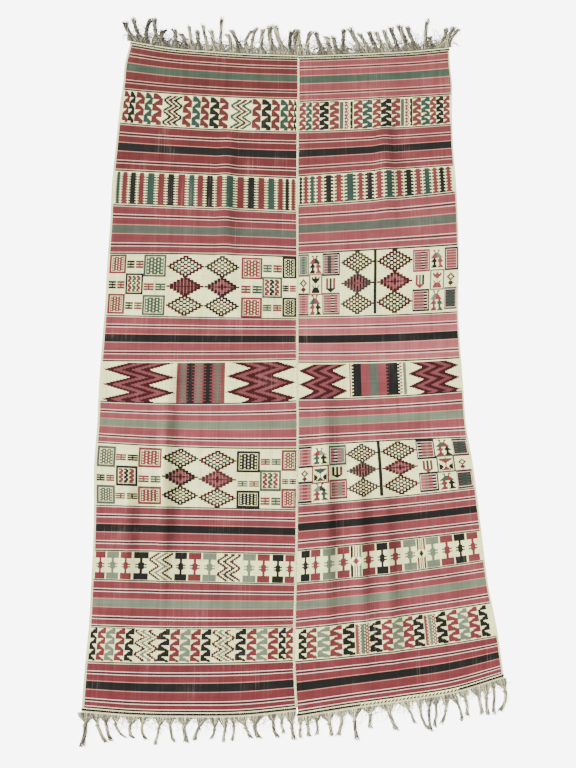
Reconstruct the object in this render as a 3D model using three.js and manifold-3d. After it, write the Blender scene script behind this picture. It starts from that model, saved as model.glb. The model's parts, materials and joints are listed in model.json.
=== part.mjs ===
// Ceremonial textile: two loom widths of woven wool joined by a seam up the middle, finished at
// both ends by a twined cord, a plain heading and a warp fringe, and laid out flat on a floor.
// Millimetres, +Z up. X runs across the cloth, Y along it towards the top end. Z = 0 is the floor.
import * as THREE from 'three';
import Module from 'manifold-3d';
import { mergeVertices } from 'three/addons/utils/BufferGeometryUtils.js';

// Thickness of the cloth, and the clearance between pieces that touch, with what is added to it
// where both follow a curve or a slope
const CLOTH_THICKNESS = 2;
const GAP = 0.3;
const CURVE_ALLOWANCE = 0.2;
const SLOPE_ALLOWANCE = 0.15;

// The seam and the twined cords, each a low rounded band on the floor
const SEAM_WIDTH = 7;
const SEAM_HEIGHT = 2.8;
const TWINING_WIDTH = 4.4;
const TWINING_HEIGHT = 3.2;
const SHOULDER = 0.55;
const SEAM_STEPS = 34;

// The plain heading outside each twined cord, which carries the fringe
const HEADING_DEPTH = { top: 17, bottom: 13 };
const HEADING_THICKNESS = 2;

// A fringe strand: three-sided, lying on its flat side, thinner towards its tip
const STRAND_WIDTH = 4;
const STRAND_HEIGHT = 2.4;
const STRAND_TAPER = 0.65;
const STRAND_STEPS = 3;
const STRAND_ROOT = 4;
const TIP_SPACING = 4.8;

// How finely the cloth is divided across a panel and along it, and the closest that two of its
// lines may lie, as a share of the width
const COLUMNS = 10;
const ROWS = 30;
const CLOSEST = 0.014;

const COLOURS = {
  cloth: 0xa85058,
  cream: 0xebeed7,
  twining: 0x3a2b28,
  yarn: 0xb9b69b,
};

// A table: its column names, then a row for each section, lock or fold
function table(names, rows) {
  return rows.map((row) => Object.fromEntries(names.map((name, i) => [name, row[i]])));
}

// Where the long edges and the seam lie, up the cloth
const EDGES = table(['y', 'left', 'seam', 'right'], [
  [-20, -716, 29, 764],
  [116, -714, 22, 753],
  [249, -709, 23, 741],
  [385, -710, 27, 721],
  [524, -712, 31, 712],
  [667, -718, 33, 703],
  [814, -727, 35, 693],
  [965, -725, 37, 676],
  [1120, -728, 36, 674],
  [1279, -726, 36, 671],
  [1443, -724, 37, 673],
  [1611, -726, 38, 686],
  [1784, -724, 38, 692],
  [1962, -727, 39, 694],
  [2145, -721, 40, 691],
  [2334, -714, 44, 697],
  [2431, -707, 45, 703],
  [2528, -704, 45, 699],
  [2628, -687, 46, 702],
]);

// Where the ends of the woven cloth lie. The share runs from an outer edge, 0, to the seam, 1.
const ENDS = table(['share', 'leftBottom', 'leftTop', 'rightBottom', 'rightTop'], [
  [0, -26, 2628, 84, 2596],
  [0.25, -39, 2594, 35, 2578],
  [0.5, -42, 2576, 8, 2568],
  [0.75, -40, 2563, -16, 2560],
  [1, -23, 2557, -43, 2554],
]);
const AT_SEAM = ENDS[ENDS.length - 1];
const MID_LENGTH = 1300;

// Soft creases and swells that stand off the floor, each running up a panel at one share across it
const CREASES = {
  left: table(['share', 'halfWidth', 'from', 'to', 'height'], [
    [0.35, 42, 260, 1240, 6],
    [0.62, 70, 1500, 2300, 4],
  ]),
  right: table(['share', 'halfWidth', 'from', 'to', 'height'], [
    [0.84, 38, 120, 1040, 6],
    [0.52, 40, 20, 900, 5],
    [0.45, 70, 1750, 2420, 4],
  ]),
};

// Locks of fringe. Root is the lock's place across the cloth, bend and lean how far it has moved
// sideways half way out and at its tip, reach how far out it lies, pitch the distance between its
// strands at the root.
const LOCK_COLUMNS = ['root', 'bend', 'lean', 'reach', 'pitch', 'strands'];
const LOCKS = {
  leftTop: table(LOCK_COLUMNS, [
    [-674, -25, -41, 92, 10, 3],
    [-645, -18, -40, 118, 8, 2],
    [-622, 7, 20, 118, 10, 2],
    [-567, -13, -21, 137, 17, 2],
    [-528, -22, -9, 76, 10, 3],
    [-489, -1, -13, 89, 11, 2],
    [-446, -6, -26, 72, 13, 2],
    [-416, -9, -22, 118, 6, 1],
    [-391, -1, -7, 91, 10, 2],
    [-349, -12, -29, 130, 6, 1],
    [-318, -9, -18, 103, 11, 2],
    [-292, -1, 4, 171, 6, 1],
    [-250, 0, -18, 86, 10, 2],
    [-206, -20, -42, 112, 8, 2],
    [-183, 2, 24, 107, 6, 1],
    [-158, 4, 30, 127, 6, 1],
    [-118, 3, 6, 122, 10, 2],
    [-56, -22, -22, 142, 12, 3],
    [-16, -25, -46, 143, 11, 3],
    [8, 2, 12, 119, 8, 2],
    [32, -2, 0, 124, 10, 2],
  ]),
  rightTop: table(LOCK_COLUMNS, [
    [60, -12, -15, 122, 8, 2],
    [84, 1, 20, 112, 8, 2],
    [151, -20, -33, 112, 11, 2],
    [187, -12, -20, 83, 8, 2],
    [212, -9, -16, 83, 8, 2],
    [238, 1, 12, 121, 10, 2],
    [320, -30, -53, 124, 10, 3],
    [355, -25, -46, 95, 8, 2],
    [386, -19, -36, 100, 8, 2],
    [412, -14, -32, 98, 7, 2],
    [448, -20, -33, 106, 10, 2],
    [474, -12, -30, 118, 8, 2],
    [520, -18, -37, 126, 9, 3],
    [556, -23, -36, 117, 10, 2],
    [599, 2, 15, 150, 6, 1],
    [630, -12, -12, 52, 10, 2],
    [651, 30, 43, 92, 7, 2],
    [672, 29, 51, 98, 7, 2],
    [690, 24, 60, 82, 7, 2],
  ]),
  leftBottom: table(LOCK_COLUMNS, [
    [-700, 1, -2, 102, 10, 3],
    [-666, 16, 38, 87, 7, 2],
    [-633, 10, 30, 79, 7, 2],
    [-597, 7, 41, 66, 6, 1],
    [-536, -9, 3, 64, 10, 2],
    [-500, -2, 10, 68, 6, 1],
    [-440, -8, -14, 84, 6, 1],
    [-409, 6, 25, 75, 6, 1],
    [-359, 2, 11, 75, 9, 3],
    [-297, -14, -24, 68, 10, 2],
    [-255, 1, -10, 64, 6, 1],
    [-224, 6, 2, 74, 6, 1],
    [-190, 3, -2, 70, 6, 1],
    [-162, 18, 36, 62, 10, 2],
    [-110, -4, 8, 66, 10, 3],
    [-54, 5, 16, 70, 8, 2],
    [-23, 2, 5, 60, 6, 1],
    [8, 5, 14, 84, 8, 2],
  ]),
  rightBottom: table(LOCK_COLUMNS, [
    [44, -2, -3, 60, 6, 1],
    [66, 2, 10, 60, 7, 2],
    [98, 2, 2, 61, 6, 1],
    [136, 8, 16, 69, 11, 2],
    [180, 4, -8, 75, 10, 2],
    [231, -1, 8, 96, 10, 2],
    [282, 2, 1, 64, 10, 2],
    [343, 14, 26, 78, 8, 3],
    [405, 19, 36, 65, 6, 1],
    [456, 6, 24, 93, 6, 1],
    [490, -2, 2, 102, 6, 1],
    [512, 0, -5, 93, 6, 1],
    [549, -4, -22, 88, 6, 1],
    [572, 22, 26, 83, 6, 1],
    [613, 6, 10, 79, 7, 2],
    [657, 9, 12, 85, 7, 2],
    [689, 0, 0, 98, 8, 2],
    [715, 2, -7, 101, 6, 1],
    [744, 12, -14, 102, 7, 2],
  ]),
};

// One column of a table at a place between its rows, on a smooth curve through them
function between(rows, key, column, at) {
  const last = rows.length - 1;
  let i = 0;
  while (i < last - 1 && rows[i + 1][key] < at) i += 1;
  const low = rows[i];
  const high = rows[i + 1];
  const before = rows[Math.max(i - 1, 0)];
  const after = rows[Math.min(i + 2, last)];
  const span = high[key] - low[key];
  const f = (at - low[key]) / span;
  if (f < 0 || f > 1) {
    return low[column] + f * (high[column] - low[column]);
  }
  const lowSlope = ((high[column] - before[column]) / (high[key] - before[key])) * span;
  const highSlope = ((after[column] - low[column]) / (after[key] - low[key])) * span;
  const f2 = f * f;
  const f3 = f2 * f;
  return (2 * f3 - 3 * f2 + 1) * low[column] + (f3 - 2 * f2 + f) * lowSlope
    + (3 * f2 - 2 * f3) * high[column] + (f3 - f2) * highSlope;
}

// The outer edge and the seam edge of a panel, at a height up the cloth
function panelSpan(side, y) {
  const outer = between(EDGES, 'y', side, y);
  const halfSeam = SEAM_WIDTH / 2 + GAP + CURVE_ALLOWANCE;
  const middle = between(EDGES, 'y', 'seam', y);
  return [outer, side === 'left' ? middle - halfSeam : middle + halfSeam];
}

// A point on a panel's plan, from its share across and its share along the woven length
function onPanel(side, share, along) {
  const bottom = between(ENDS, 'share', `${side}Bottom`, share);
  const top = between(ENDS, 'share', `${side}Top`, share);
  const y = bottom + along * (top - bottom);
  const [outer, inner] = panelSpan(side, y);
  return new THREE.Vector2(outer + share * (inner - outer), y);
}

// A round hump that rises and falls between -1 and 1
function hump(d) {
  return Math.abs(d) < 1 ? (1 + Math.cos(Math.PI * d)) / 2 : 0;
}

// How far the cloth stands off the floor at a share across a panel
function lift(side, share, point) {
  const [outer, inner] = panelSpan(side, point.y);
  const width = Math.abs(inner - outer);
  let height = 0;
  for (const crease of CREASES[side]) {
    const across = ((share - crease.share) * width) / crease.halfWidth;
    const middle = (crease.from + crease.to) / 2;
    const alongIt = (point.y - middle) / ((crease.to - crease.from) / 2);
    height = Math.max(height, crease.height * hump(across) * hump(alongIt) ** 0.5);
  }
  return height;
}

// A closed solid from rings of points: each ring is joined to the next, and the ends are capped
function solidFromRings(rings) {
  const size = rings[0].length;
  const positions = [];
  const faces = [];
  for (const ring of rings) {
    for (const p of ring) positions.push(p.x, p.y, p.z);
  }
  for (let r = 0; r + 1 < rings.length; r += 1) {
    for (let k = 0; k < size; k += 1) {
      const next = (k + 1) % size;
      const a = r * size + k;
      const b = r * size + next;
      faces.push(a, b, b + size, a, b + size, a + size);
    }
  }
  const far = (rings.length - 1) * size;
  for (let k = 1; k + 1 < size; k += 1) {
    faces.push(0, k + 1, k);
    faces.push(far, far + k, far + k + 1);
  }
  return facingOut(positions, faces);
}

// A geometry from points and faces, turned over if its faces point inwards
function facingOut(positions, faces) {
  const corner = (i) => new THREE.Vector3().fromArray(positions, 3 * i);
  let volume = 0;
  for (let f = 0; f < faces.length; f += 3) {
    const [a, b, c] = [corner(faces[f]), corner(faces[f + 1]), corner(faces[f + 2])];
    volume += a.dot(b.cross(c));
  }
  const outward = volume > 0 ? faces : faces.slice().reverse();
  const geometry = new THREE.BufferGeometry();
  geometry.setAttribute('position', new THREE.Float32BufferAttribute(positions, 3));
  geometry.setIndex(outward);
  geometry.computeVertexNormals();
  return geometry;
}

// A low band along a route on the floor. The section gives its side and height for each corner,
// and is set square to the route, or all along it to one given direction.
function bandAlong(route, section, { facing = null, tipScale = 1 } = {}) {
  const rings = route.map((point, i) => {
    const back = route[Math.max(i - 1, 0)];
    const ahead = route[Math.min(i + 1, route.length - 1)];
    const way = facing ?? ahead.clone().sub(back).normalize();
    const scale = 1 - ((1 - tipScale) * i) / (route.length - 1);
    return section.map(([side, height]) => new THREE.Vector3(
      point.x - way.y * side * scale,
      point.y + way.x * side * scale,
      height * scale,
    ));
  });
  return solidFromRings(rings);
}

// The section of a rounded cord that lies flat on the floor
function roundedSection(width, height) {
  return [
    [-width / 2, 0],
    [width / 2, 0],
    [width / 2, height * SHOULDER],
    [width / 4, height],
    [-width / 4, height],
    [-width / 2, height * SHOULDER],
  ];
}

// Shares across a panel where its mesh has a line, with more of them over each crease
function panelColumns(side) {
  const shares = [];
  for (let i = 0; i <= COLUMNS; i += 1) shares.push(i / COLUMNS);
  const [outer, inner] = panelSpan(side, MID_LENGTH);
  for (const crease of CREASES[side]) {
    const reach = crease.halfWidth / Math.abs(inner - outer);
    for (const step of [-1, -0.5, 0, 0.5, 1]) shares.push(crease.share + step * reach);
  }
  shares.sort((a, b) => a - b);
  return shares.filter((share, i) => i === 0 || share - shares[i - 1] > CLOSEST || share === 1);
}

// A panel of cloth: a sheet of even thickness that follows its creases and rests on the floor
function clothPanel(side) {
  const shares = panelColumns(side);
  const positions = [];
  const faces = [];
  const across = shares.length;
  const layer = across * (ROWS + 1);
  for (const raise of [0, CLOTH_THICKNESS]) {
    for (let r = 0; r <= ROWS; r += 1) {
      for (const share of shares) {
        const p = onPanel(side, share, r / ROWS);
        positions.push(p.x, p.y, lift(side, share, p) + raise);
      }
    }
  }
  for (let r = 0; r < ROWS; r += 1) {
    for (let c = 0; c + 1 < across; c += 1) {
      const a = r * across + c;
      const b = a + 1;
      const [d, e] = [a + across, b + across];
      faces.push(a, e, b, a, d, e);
      faces.push(layer + a, layer + b, layer + e, layer + a, layer + e, layer + d);
    }
  }
  const rim = [];
  for (let c = 0; c + 1 < across; c += 1) rim.push(c);
  for (let r = 0; r < ROWS; r += 1) rim.push(r * across + across - 1);
  for (let c = across - 1; c > 0; c -= 1) rim.push(ROWS * across + c);
  for (let r = ROWS; r > 0; r -= 1) rim.push(r * across);
  rim.forEach((a, i) => {
    const b = rim[(i + 1) % rim.length];
    faces.push(a, b, layer + b, a, layer + b, layer + a);
  });
  return facingOut(positions, faces);
}

// The seam between the panels, from one end of the woven cloth to the other
function seam() {
  const bottom = Math.max(AT_SEAM.leftBottom, AT_SEAM.rightBottom);
  const top = Math.min(AT_SEAM.leftTop, AT_SEAM.rightTop);
  const route = [];
  for (let i = 0; i <= SEAM_STEPS; i += 1) {
    const y = bottom + (i / SEAM_STEPS) * (top - bottom);
    route.push(new THREE.Vector2(between(EDGES, 'y', 'seam', y), y));
  }
  return bandAlong(route, roundedSection(SEAM_WIDTH, SEAM_HEIGHT));
}

// A line that runs beside the end of a panel, at a distance out from it, in the panel's own steps.
// It goes on to half a gap short of the middle of the seam, where it meets the other panel's line.
function endLine(side, end, distance) {
  const outward = end === 'top' ? 1 : -1;
  const line = panelColumns(side).map((share) => {
    const p = onPanel(side, share, end === 'top' ? 1 : 0);
    p.y += outward * distance;
    return p;
  });
  const { y } = line[line.length - 1];
  const middle = between(EDGES, 'y', 'seam', y);
  line.push(new THREE.Vector2(side === 'left' ? middle - GAP / 2 : middle + GAP / 2, y));
  return line;
}

// The end bands keep their depth along Y all the way across, so their ends at the seam are square
const ACROSS = new THREE.Vector2(1, 0);

// Distances out from the woven cloth: the middle of the twined cord, and the heading's two edges
const TWINING_LINE = GAP + SLOPE_ALLOWANCE + TWINING_WIDTH / 2;
const HEADING_START = TWINING_LINE + TWINING_WIDTH / 2 + GAP + SLOPE_ALLOWANCE;

// The dark cord twined through the warps where the woven cloth ends
function twining(side, end) {
  const line = endLine(side, end, TWINING_LINE);
  return bandAlong(line, roundedSection(TWINING_WIDTH, TWINING_HEIGHT), { facing: ACROSS });
}

// The plain strip of heading outside the twined cord
function heading(side, end) {
  const depth = HEADING_DEPTH[end];
  const section = [
    [-depth / 2, 0],
    [depth / 2, 0],
    [depth / 2, HEADING_THICKNESS],
    [-depth / 2, HEADING_THICKNESS],
  ];
  const line = endLine(side, end, HEADING_START + depth / 2);
  return bandAlong(line, section, { facing: ACROSS });
}

// How far up the cloth the outer line of a heading lies, at a place across the cloth
function headingEdge(side, end, x) {
  const line = endLine(side, end, HEADING_START + HEADING_DEPTH[end]);
  if (side === 'right') line.reverse();
  return between(line, 'x', 'y', x);
}

// One strand, from inside the heading out to its tip
function strand(side, end, lock, offset, tipOffset) {
  const outward = end === 'top' ? 1 : -1;
  const rootX = lock.root + offset;
  const rootY = headingEdge(side, end, rootX);
  const tip = lock.lean + tipOffset - offset;
  const half = lock.bend + (tipOffset - offset) / 2;
  const route = [new THREE.Vector2(rootX, rootY - outward * STRAND_ROOT)];
  for (let i = 1; i <= STRAND_STEPS; i += 1) {
    const t = i / STRAND_STEPS;
    const sideways = (4 * half - tip) * t + (2 * tip - 4 * half) * t * t;
    route.push(new THREE.Vector2(rootX + sideways, rootY + outward * lock.reach * t));
  }
  const section = [
    [-STRAND_WIDTH / 2, 0],
    [STRAND_WIDTH / 2, 0],
    [0, STRAND_HEIGHT],
  ];
  return bandAlong(route, section, { tipScale: STRAND_TAPER });
}

const wasm = await Module();
wasm.setup();

function toManifold(geometry) {
  const bare = geometry.clone();
  bare.deleteAttribute('normal');
  const merged = mergeVertices(bare, 1e-4);
  return new wasm.Manifold(new wasm.Mesh({
    numProp: 3,
    vertProperties: Float32Array.from(merged.attributes.position.array),
    triVerts: Uint32Array.from(merged.index.array),
  }));
}

function fromManifold(solid) {
  const mesh = solid.getMesh();
  const geometry = new THREE.BufferGeometry();
  geometry.setAttribute('position', new THREE.Float32BufferAttribute(mesh.vertProperties, 3));
  geometry.setIndex(Array.from(mesh.triVerts));
  geometry.computeVertexNormals();
  return geometry;
}

// A heading with its fringe: the strands stand apart and are fused to the strip at their roots
function fringe(side, end) {
  let solid = toManifold(heading(side, end));
  for (const lock of LOCKS[`${side}${end === 'top' ? 'Top' : 'Bottom'}`]) {
    for (let i = 0; i < lock.strands; i += 1) {
      const place = i - (lock.strands - 1) / 2;
      const yarn = strand(side, end, lock, place * lock.pitch, place * TIP_SPACING);
      solid = solid.add(toManifold(yarn));
    }
  }
  return fromManifold(solid);
}

// Finishes: plain wool, cream wool, dark wool and undyed warp yarn
const FINISHES = {
  cloth: new THREE.MeshStandardMaterial({ color: COLOURS.cloth, roughness: 0.9, metalness: 0 }),
  cream: new THREE.MeshStandardMaterial({ color: COLOURS.cream, roughness: 0.92, metalness: 0 }),
  twining: new THREE.MeshStandardMaterial({ color: COLOURS.twining, roughness: 0.9, metalness: 0 }),
  yarn: new THREE.MeshStandardMaterial({ color: COLOURS.yarn, roughness: 0.95, metalness: 0 }),
};

const textile = new THREE.Group();
textile.name = 'ceremonial_textile';

function addPiece(name, geometry, finish) {
  const piece = new THREE.Mesh(geometry, finish);
  piece.name = name;
  textile.add(piece);
}

addPiece('seam', seam(), FINISHES.cream);
for (const side of ['left', 'right']) {
  addPiece(`panel_${side}`, clothPanel(side), FINISHES.cloth);
  for (const end of ['top', 'bottom']) {
    addPiece(`twining_${end}_${side}`, twining(side, end), FINISHES.twining);
    addPiece(`fringe_${end}_${side}`, fringe(side, end), FINISHES.yarn);
  }
}

// The origin goes under the middle of the whole textile, on the floor
const middle = new THREE.Box3().setFromObject(textile).getCenter(new THREE.Vector3());
textile.position.set(-middle.x, -middle.y, 0);
textile.updateMatrixWorld(true);

export default textile;
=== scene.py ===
import json
import math
import random

import bpy
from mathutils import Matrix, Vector

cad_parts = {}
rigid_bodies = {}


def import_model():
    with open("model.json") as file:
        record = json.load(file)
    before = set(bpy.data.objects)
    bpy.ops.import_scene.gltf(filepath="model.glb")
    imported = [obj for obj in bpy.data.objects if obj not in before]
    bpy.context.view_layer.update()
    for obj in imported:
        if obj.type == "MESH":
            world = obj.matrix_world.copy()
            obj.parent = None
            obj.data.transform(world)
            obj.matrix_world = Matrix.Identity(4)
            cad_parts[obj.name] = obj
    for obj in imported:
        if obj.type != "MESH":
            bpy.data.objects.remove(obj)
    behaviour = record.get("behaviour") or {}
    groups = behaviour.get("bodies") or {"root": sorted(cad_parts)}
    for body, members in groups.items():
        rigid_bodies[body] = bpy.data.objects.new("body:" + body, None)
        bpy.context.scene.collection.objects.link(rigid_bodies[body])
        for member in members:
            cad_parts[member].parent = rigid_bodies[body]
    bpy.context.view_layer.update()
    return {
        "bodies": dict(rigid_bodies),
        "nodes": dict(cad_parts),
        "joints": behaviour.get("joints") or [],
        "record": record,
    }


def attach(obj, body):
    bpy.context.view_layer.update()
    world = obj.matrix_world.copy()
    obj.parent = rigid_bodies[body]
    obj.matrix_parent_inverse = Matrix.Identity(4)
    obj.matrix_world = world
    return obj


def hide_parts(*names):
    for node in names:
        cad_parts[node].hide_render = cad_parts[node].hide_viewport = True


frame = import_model()

bl_info = {
    "name": "Ceremonial textile",
    "version": (1, 0, 0),
    "blender": (4, 5, 0),
    "location": "3D View > Sidebar > Textile",
    "description": "Lays out a two-panel woven textile with its seam, twined ends and fringes",
    "category": "Object",
}

# Plan millimetres to metres about the middle of the part: x right, y up the cloth, z off the floor
MM = 0.001
MIDDLE = (16.3, 1309.0)
CLOTH_THICKNESS = 2.0
HALF_SEAM = 4.0
TWINING_LINE = 2.65
HEADING_START = 5.3
HEADING_DEPTH = {"top": 17.0, "bottom": 13.0}

# Where the long edges and the seam lie, up the cloth: y, left edge, seam, right edge
EDGES = (
    (-20, -716, 29, 764),
    (116, -714, 22, 753),
    (249, -709, 23, 741),
    (385, -710, 27, 721),
    (524, -712, 31, 712),
    (667, -718, 33, 703),
    (814, -727, 35, 693),
    (965, -725, 37, 676),
    (1120, -728, 36, 674),
    (1279, -726, 36, 671),
    (1443, -724, 37, 673),
    (1611, -726, 38, 686),
    (1784, -724, 38, 692),
    (1962, -727, 39, 694),
    (2145, -721, 40, 691),
    (2334, -714, 44, 697),
    (2431, -707, 45, 703),
    (2528, -704, 45, 699),
    (2628, -687, 46, 702),
)
LEFT_EDGE, SEAM_LINE, RIGHT_EDGE = 1, 2, 3

# Ends of the woven cloth: share from outer edge to seam, then left bottom and top, right bottom and top
ENDS = (
    (0, -26, 2628, 84, 2596),
    (0.25, -39, 2594, 35, 2578),
    (0.5, -42, 2576, 8, 2568),
    (0.75, -40, 2563, -16, 2560),
    (1, -23, 2557, -43, 2554),
)
END_COLUMN = {("left", "bottom"): 1, ("left", "top"): 2, ("right", "bottom"): 3, ("right", "top"): 4}

# Creases that stand off the floor: share across, half width, from, to, height
CREASES = {
    "left": ((0.35, 34, 260, 1260, 13), (0.62, 50, 1500, 2300, 9), (0.17, 30, 300, 900, 9)),
    "right": (
        (0.84, 34, 120, 1180, 14), (0.66, 32, 60, 900, 12), (0.52, 36, 20, 900, 9),
        (0.45, 50, 1750, 2420, 9),
    ),
}
# Painted shade on the flank of each crease turned from the light: how wide, how far to the side, and how
# much in each mm of height
FLANK_SPREAD, FLANK_SHIFT, FOLD_SHADE_PER_MM = 1.3, 0.6, 0.032

# Lines between the stripe groups and the bands, from the top: y at outer edge, middle and seam
LINES = {
    "left": (
        (2401, 2369, 2355), (2246, 2216, 2203),
        (2022, 2003, 1986), (1872, 1855, 1838),
        (1653, 1650, 1638), (1399, 1390, 1384),
        (1210, 1209, 1215), (1056, 1046, 1057),
        (894, 875, 871), (666, 657, 650),
        (501, 495, 487), (404, 395, 387),
        (243, 235, 241), (127, 121, 131),
    ),
    "right": (
        (2378, 2358, 2342), (2240, 2217, 2204),
        (2045, 2020, 1995), (1929, 1892, 1868),
        (1691, 1670, 1653), (1413, 1398, 1392),
        (1222, 1207, 1204), (1096, 1072, 1064),
        (913, 899, 879), (729, 694, 667),
        (572, 534, 500), (470, 424, 391),
        (320, 271, 231), (212, 162, 127),
    ),
}

# Dyes of the wool, as sRGB
DYES = {
    "C": (248, 248, 174),
    "S": (226, 224, 170),
    "R": (91, 39, 36),
    "r": (134, 70, 71),
    "P": (182, 118, 104),
    "K": (24, 24, 22),
    "N": (34, 18, 16),
    "D": (44, 64, 54),
    "G": (60, 76, 60),
    "h": (76, 82, 70),
    "g": (104, 114, 92),
    "M": (56, 12, 17),
    "m": (112, 60, 62),
    "B": (70, 34, 34),
    "k": (50, 45, 40),
    "q": (96, 84, 72),
    "L": (216, 162, 142),
    "Y": (182, 178, 146),
    "y": (120, 116, 98),
    "z": (72, 68, 59),
}
# The red and the light lines towards the foot, and how far the red has faded in each stripe group
FOOT_RED = (99, 38, 41)
FOOT_LINE = (240, 216, 194)
FADED_RED = (168, 92, 94)
FADE = {
    "left": (0.0, 0.0, 0.15, 0.3, 0.4, 0.18, 0.15, 0.05),
    "right": (0.35, 0.15, 0.35, 0.75, 0.35, 0.25, 0.3, 0.1),
}


def to_linear(value):
    value /= 255
    return value / 12.92 if value <= 0.04045 else ((value + 0.055) / 1.055) ** 2.4


def linear(rgb):
    return tuple(to_linear(v) for v in rgb) + (1.0,)


LINEAR = {name: linear(rgb) for name, rgb in DYES.items()}


def blend(a, b, share):
    return tuple(max(p + (q - p) * share, 0) for p, q in zip(a, b))


def dyed(name, side, section):
    """The colour of a dye in a section. Reds fade in some stripe groups more than in others."""
    if name == "L":
        return blend(LINEAR[name], linear(FOOT_LINE), min(section / 8, 1))
    if name not in "RrP":
        return LINEAR[name]
    groups = FADE[side]
    above = groups[section // 2]
    below = groups[min((section + 1) // 2, len(groups) - 1)]
    fade = (above + below) / 2
    if section % 2:
        fade *= 0.5
    pale = linear(FADED_RED)
    if name == "R":
        return blend(blend(LINEAR[name], linear(FOOT_RED), min(section / 6, 1)), pale, fade)
    return blend(LINEAR[name], LINEAR["L"], fade * 0.4)


# ---------------------------------------------------------------- lay of the cloth


def between(rows, column, at):
    """One column of a table at a place between its rows, on a smooth curve through them."""
    last = len(rows) - 1
    i = 0
    while i < last - 1 and rows[i + 1][0] < at:
        i += 1
    low, high = rows[i], rows[i + 1]
    before, after = rows[max(i - 1, 0)], rows[min(i + 2, last)]
    span = high[0] - low[0]
    f = (at - low[0]) / span
    if f < 0 or f > 1:
        return low[column] + f * (high[column] - low[column])
    low_slope = (high[column] - before[column]) / (high[0] - before[0]) * span
    high_slope = (after[column] - low[column]) / (after[0] - low[0]) * span
    f2, f3 = f * f, f * f * f
    return (
        (2 * f3 - 3 * f2 + 1) * low[column]
        + (f3 - 2 * f2 + f) * low_slope
        + (3 * f2 - 2 * f3) * high[column]
        + (f3 - f2) * high_slope
    )


def panel_span(side, y):
    """Outer edge and seam edge of a panel at a height up the cloth."""
    middle = between(EDGES, SEAM_LINE, y)
    if side == "left":
        return between(EDGES, LEFT_EDGE, y), middle - HALF_SEAM
    return between(EDGES, RIGHT_EDGE, y), middle + HALF_SEAM


def end_height(side, end, share):
    return between(ENDS, END_COLUMN[side, end], share)


def line_height(side, number, share):
    """Height of a line between sections: 0 is the top end, and one past the last the bottom end."""
    if number == 0:
        return end_height(side, "top", share)
    if number > len(LINES[side]):
        return end_height(side, "bottom", share)
    edge, middle, seam = LINES[side][number - 1]
    return (
        edge * (1 - share) * (1 - 2 * share)
        + middle * 4 * share * (1 - share)
        + seam * share * (2 * share - 1)
    )


def hump(d):
    return (1 + math.cos(math.pi * d)) / 2 if abs(d) < 1 else 0.0


def crease_height(side, share, y, spread=1.0, shift=0.0):
    """The highest crease at a place. Spread widens the creases and shift moves them sideways."""
    outer, inner = panel_span(side, y)
    width = abs(inner - outer)
    height = 0.0
    for place, half, start, end, top in CREASES[side]:
        across = hump((share - place) * width / half / spread + shift)
        along = hump((y - (start + end) / 2) / ((end - start) / 2)) ** 0.5
        height = max(height, top * across * along)
    return height


def brightness_under_fold_shade(side, x, y):
    """How much of its brightness the dye keeps where shade is painted on the flank of a crease turned from
    the light.
    """
    outer, inner = panel_span(side, y)
    shift = FLANK_SHIFT if side == "right" else -FLANK_SHIFT
    return 1 - FOLD_SHADE_PER_MM * crease_height(side, (x - outer) / (inner - outer), y, FLANK_SPREAD, shift)


def plan_point(x, y, z):
    return ((x - MIDDLE[0]) * MM, (y - MIDDLE[1]) * MM, z * MM)


# ---------------------------------------------------------------- motifs


class Motif:
    """A figure in a box: lines across and down in mm from its top left corner, and its dyes."""

    def __init__(self, xs, ys, dye):
        self.xs = xs
        self.ys = ys
        self.dye = dye


def steps(length, count):
    return [length * i / count for i in range(count + 1)]


# Columns and rows of the stepped figures: how many across, or how many mm each
WAVE_COLUMNS, WAVE_ROW = 10, 3.1
ZIGZAG_COLUMN, ZIGZAG_ROW = 3.6, 4.6
FLAME_COLUMN, FLAME_ROW = 4.2, 3.6
# How far knots reach over their neighbours, as shares of a knot
CHECKER_JOIN = RIM_JOIN = 0.32


def plain(dye):
    """One dye all over."""
    return lambda w, h: Motif([0, w], [0, h], lambda x, y: dye)


def chart(rows, swap=""):
    """A repeat charted one letter a knot. Swap renames letters, as in "1R2K"."""
    names = dict(zip(swap[::2], swap[1::2]))

    def build(w, h):
        across, down = len(rows[0]), len(rows)

        def dye(x, y):
            letter = rows[min(int(y / h * down), down - 1)][min(int(x / w * across), across - 1)]
            return names.get(letter, None if letter == "." else letter)

        return Motif(steps(w, across), steps(h, down), dye)

    return build


def wave(dye, left, right, period, reach=0.6, rise=0.4):
    """A column that weaves from side to side between cream spikes with level tops."""

    def build(w, h):
        across, rows = WAVE_COLUMNS, round(h / WAVE_ROW)

        def inside(x, y):
            u, v = x / w, y / h
            for side, start in ((u, left), (1 - u, right)):
                down = (v - start) % period / (rise * period)
                if side < reach * (1 - down):
                    return None
            return dye

        return Motif(steps(w, across), steps(h, rows), inside)

    return build


def triangle_wave(v, first, period):
    """0 at first and every period from it, 1 half way between."""
    d = ((v - first) / period) % 1
    return 1 - abs(2 * d - 1)


def zigzag(dyes, left, period, swing=0.42, thick=8.6):
    """Thin zigzag lines side by side, their left corners at the share left down the box."""

    def build(w, h):
        across, down = round(w / ZIGZAG_COLUMN), round(h / ZIGZAG_ROW)
        gap = (1 - swing) / (len(dyes) - 1) * w

        def dye(x, y):
            reach = triangle_wave(y / h, left, period) * swing * w
            for i, name in enumerate(dyes):
                if abs(x - i * gap - reach) < thick:
                    return name
            return None

        return Motif(steps(w, across), steps(h, down), dye)

    return build


def barbed(dye, teeth=12, pointed=True, waist=0.62):
    """An upright bar with level teeth on both sides, pointed at the top or not."""

    def build(w, h):
        def inside(x, y):
            off = abs(x / w - 0.5) * 2
            if pointed and y < h * 0.05:
                return dye if off < 0.6 else None
            tooth = math.floor((y / h * teeth) % 1 * 3)
            return dye if off < (waist, 1, 1)[tooth] else None

        near = (1 - waist) / 2
        xs = [0, w * near, w * (1 - near), w]
        xs += [w * 0.2, w * 0.8] if pointed else []
        xs.sort()
        return Motif(xs, steps(h, round(teeth * 3)), inside)

    return build


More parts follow.
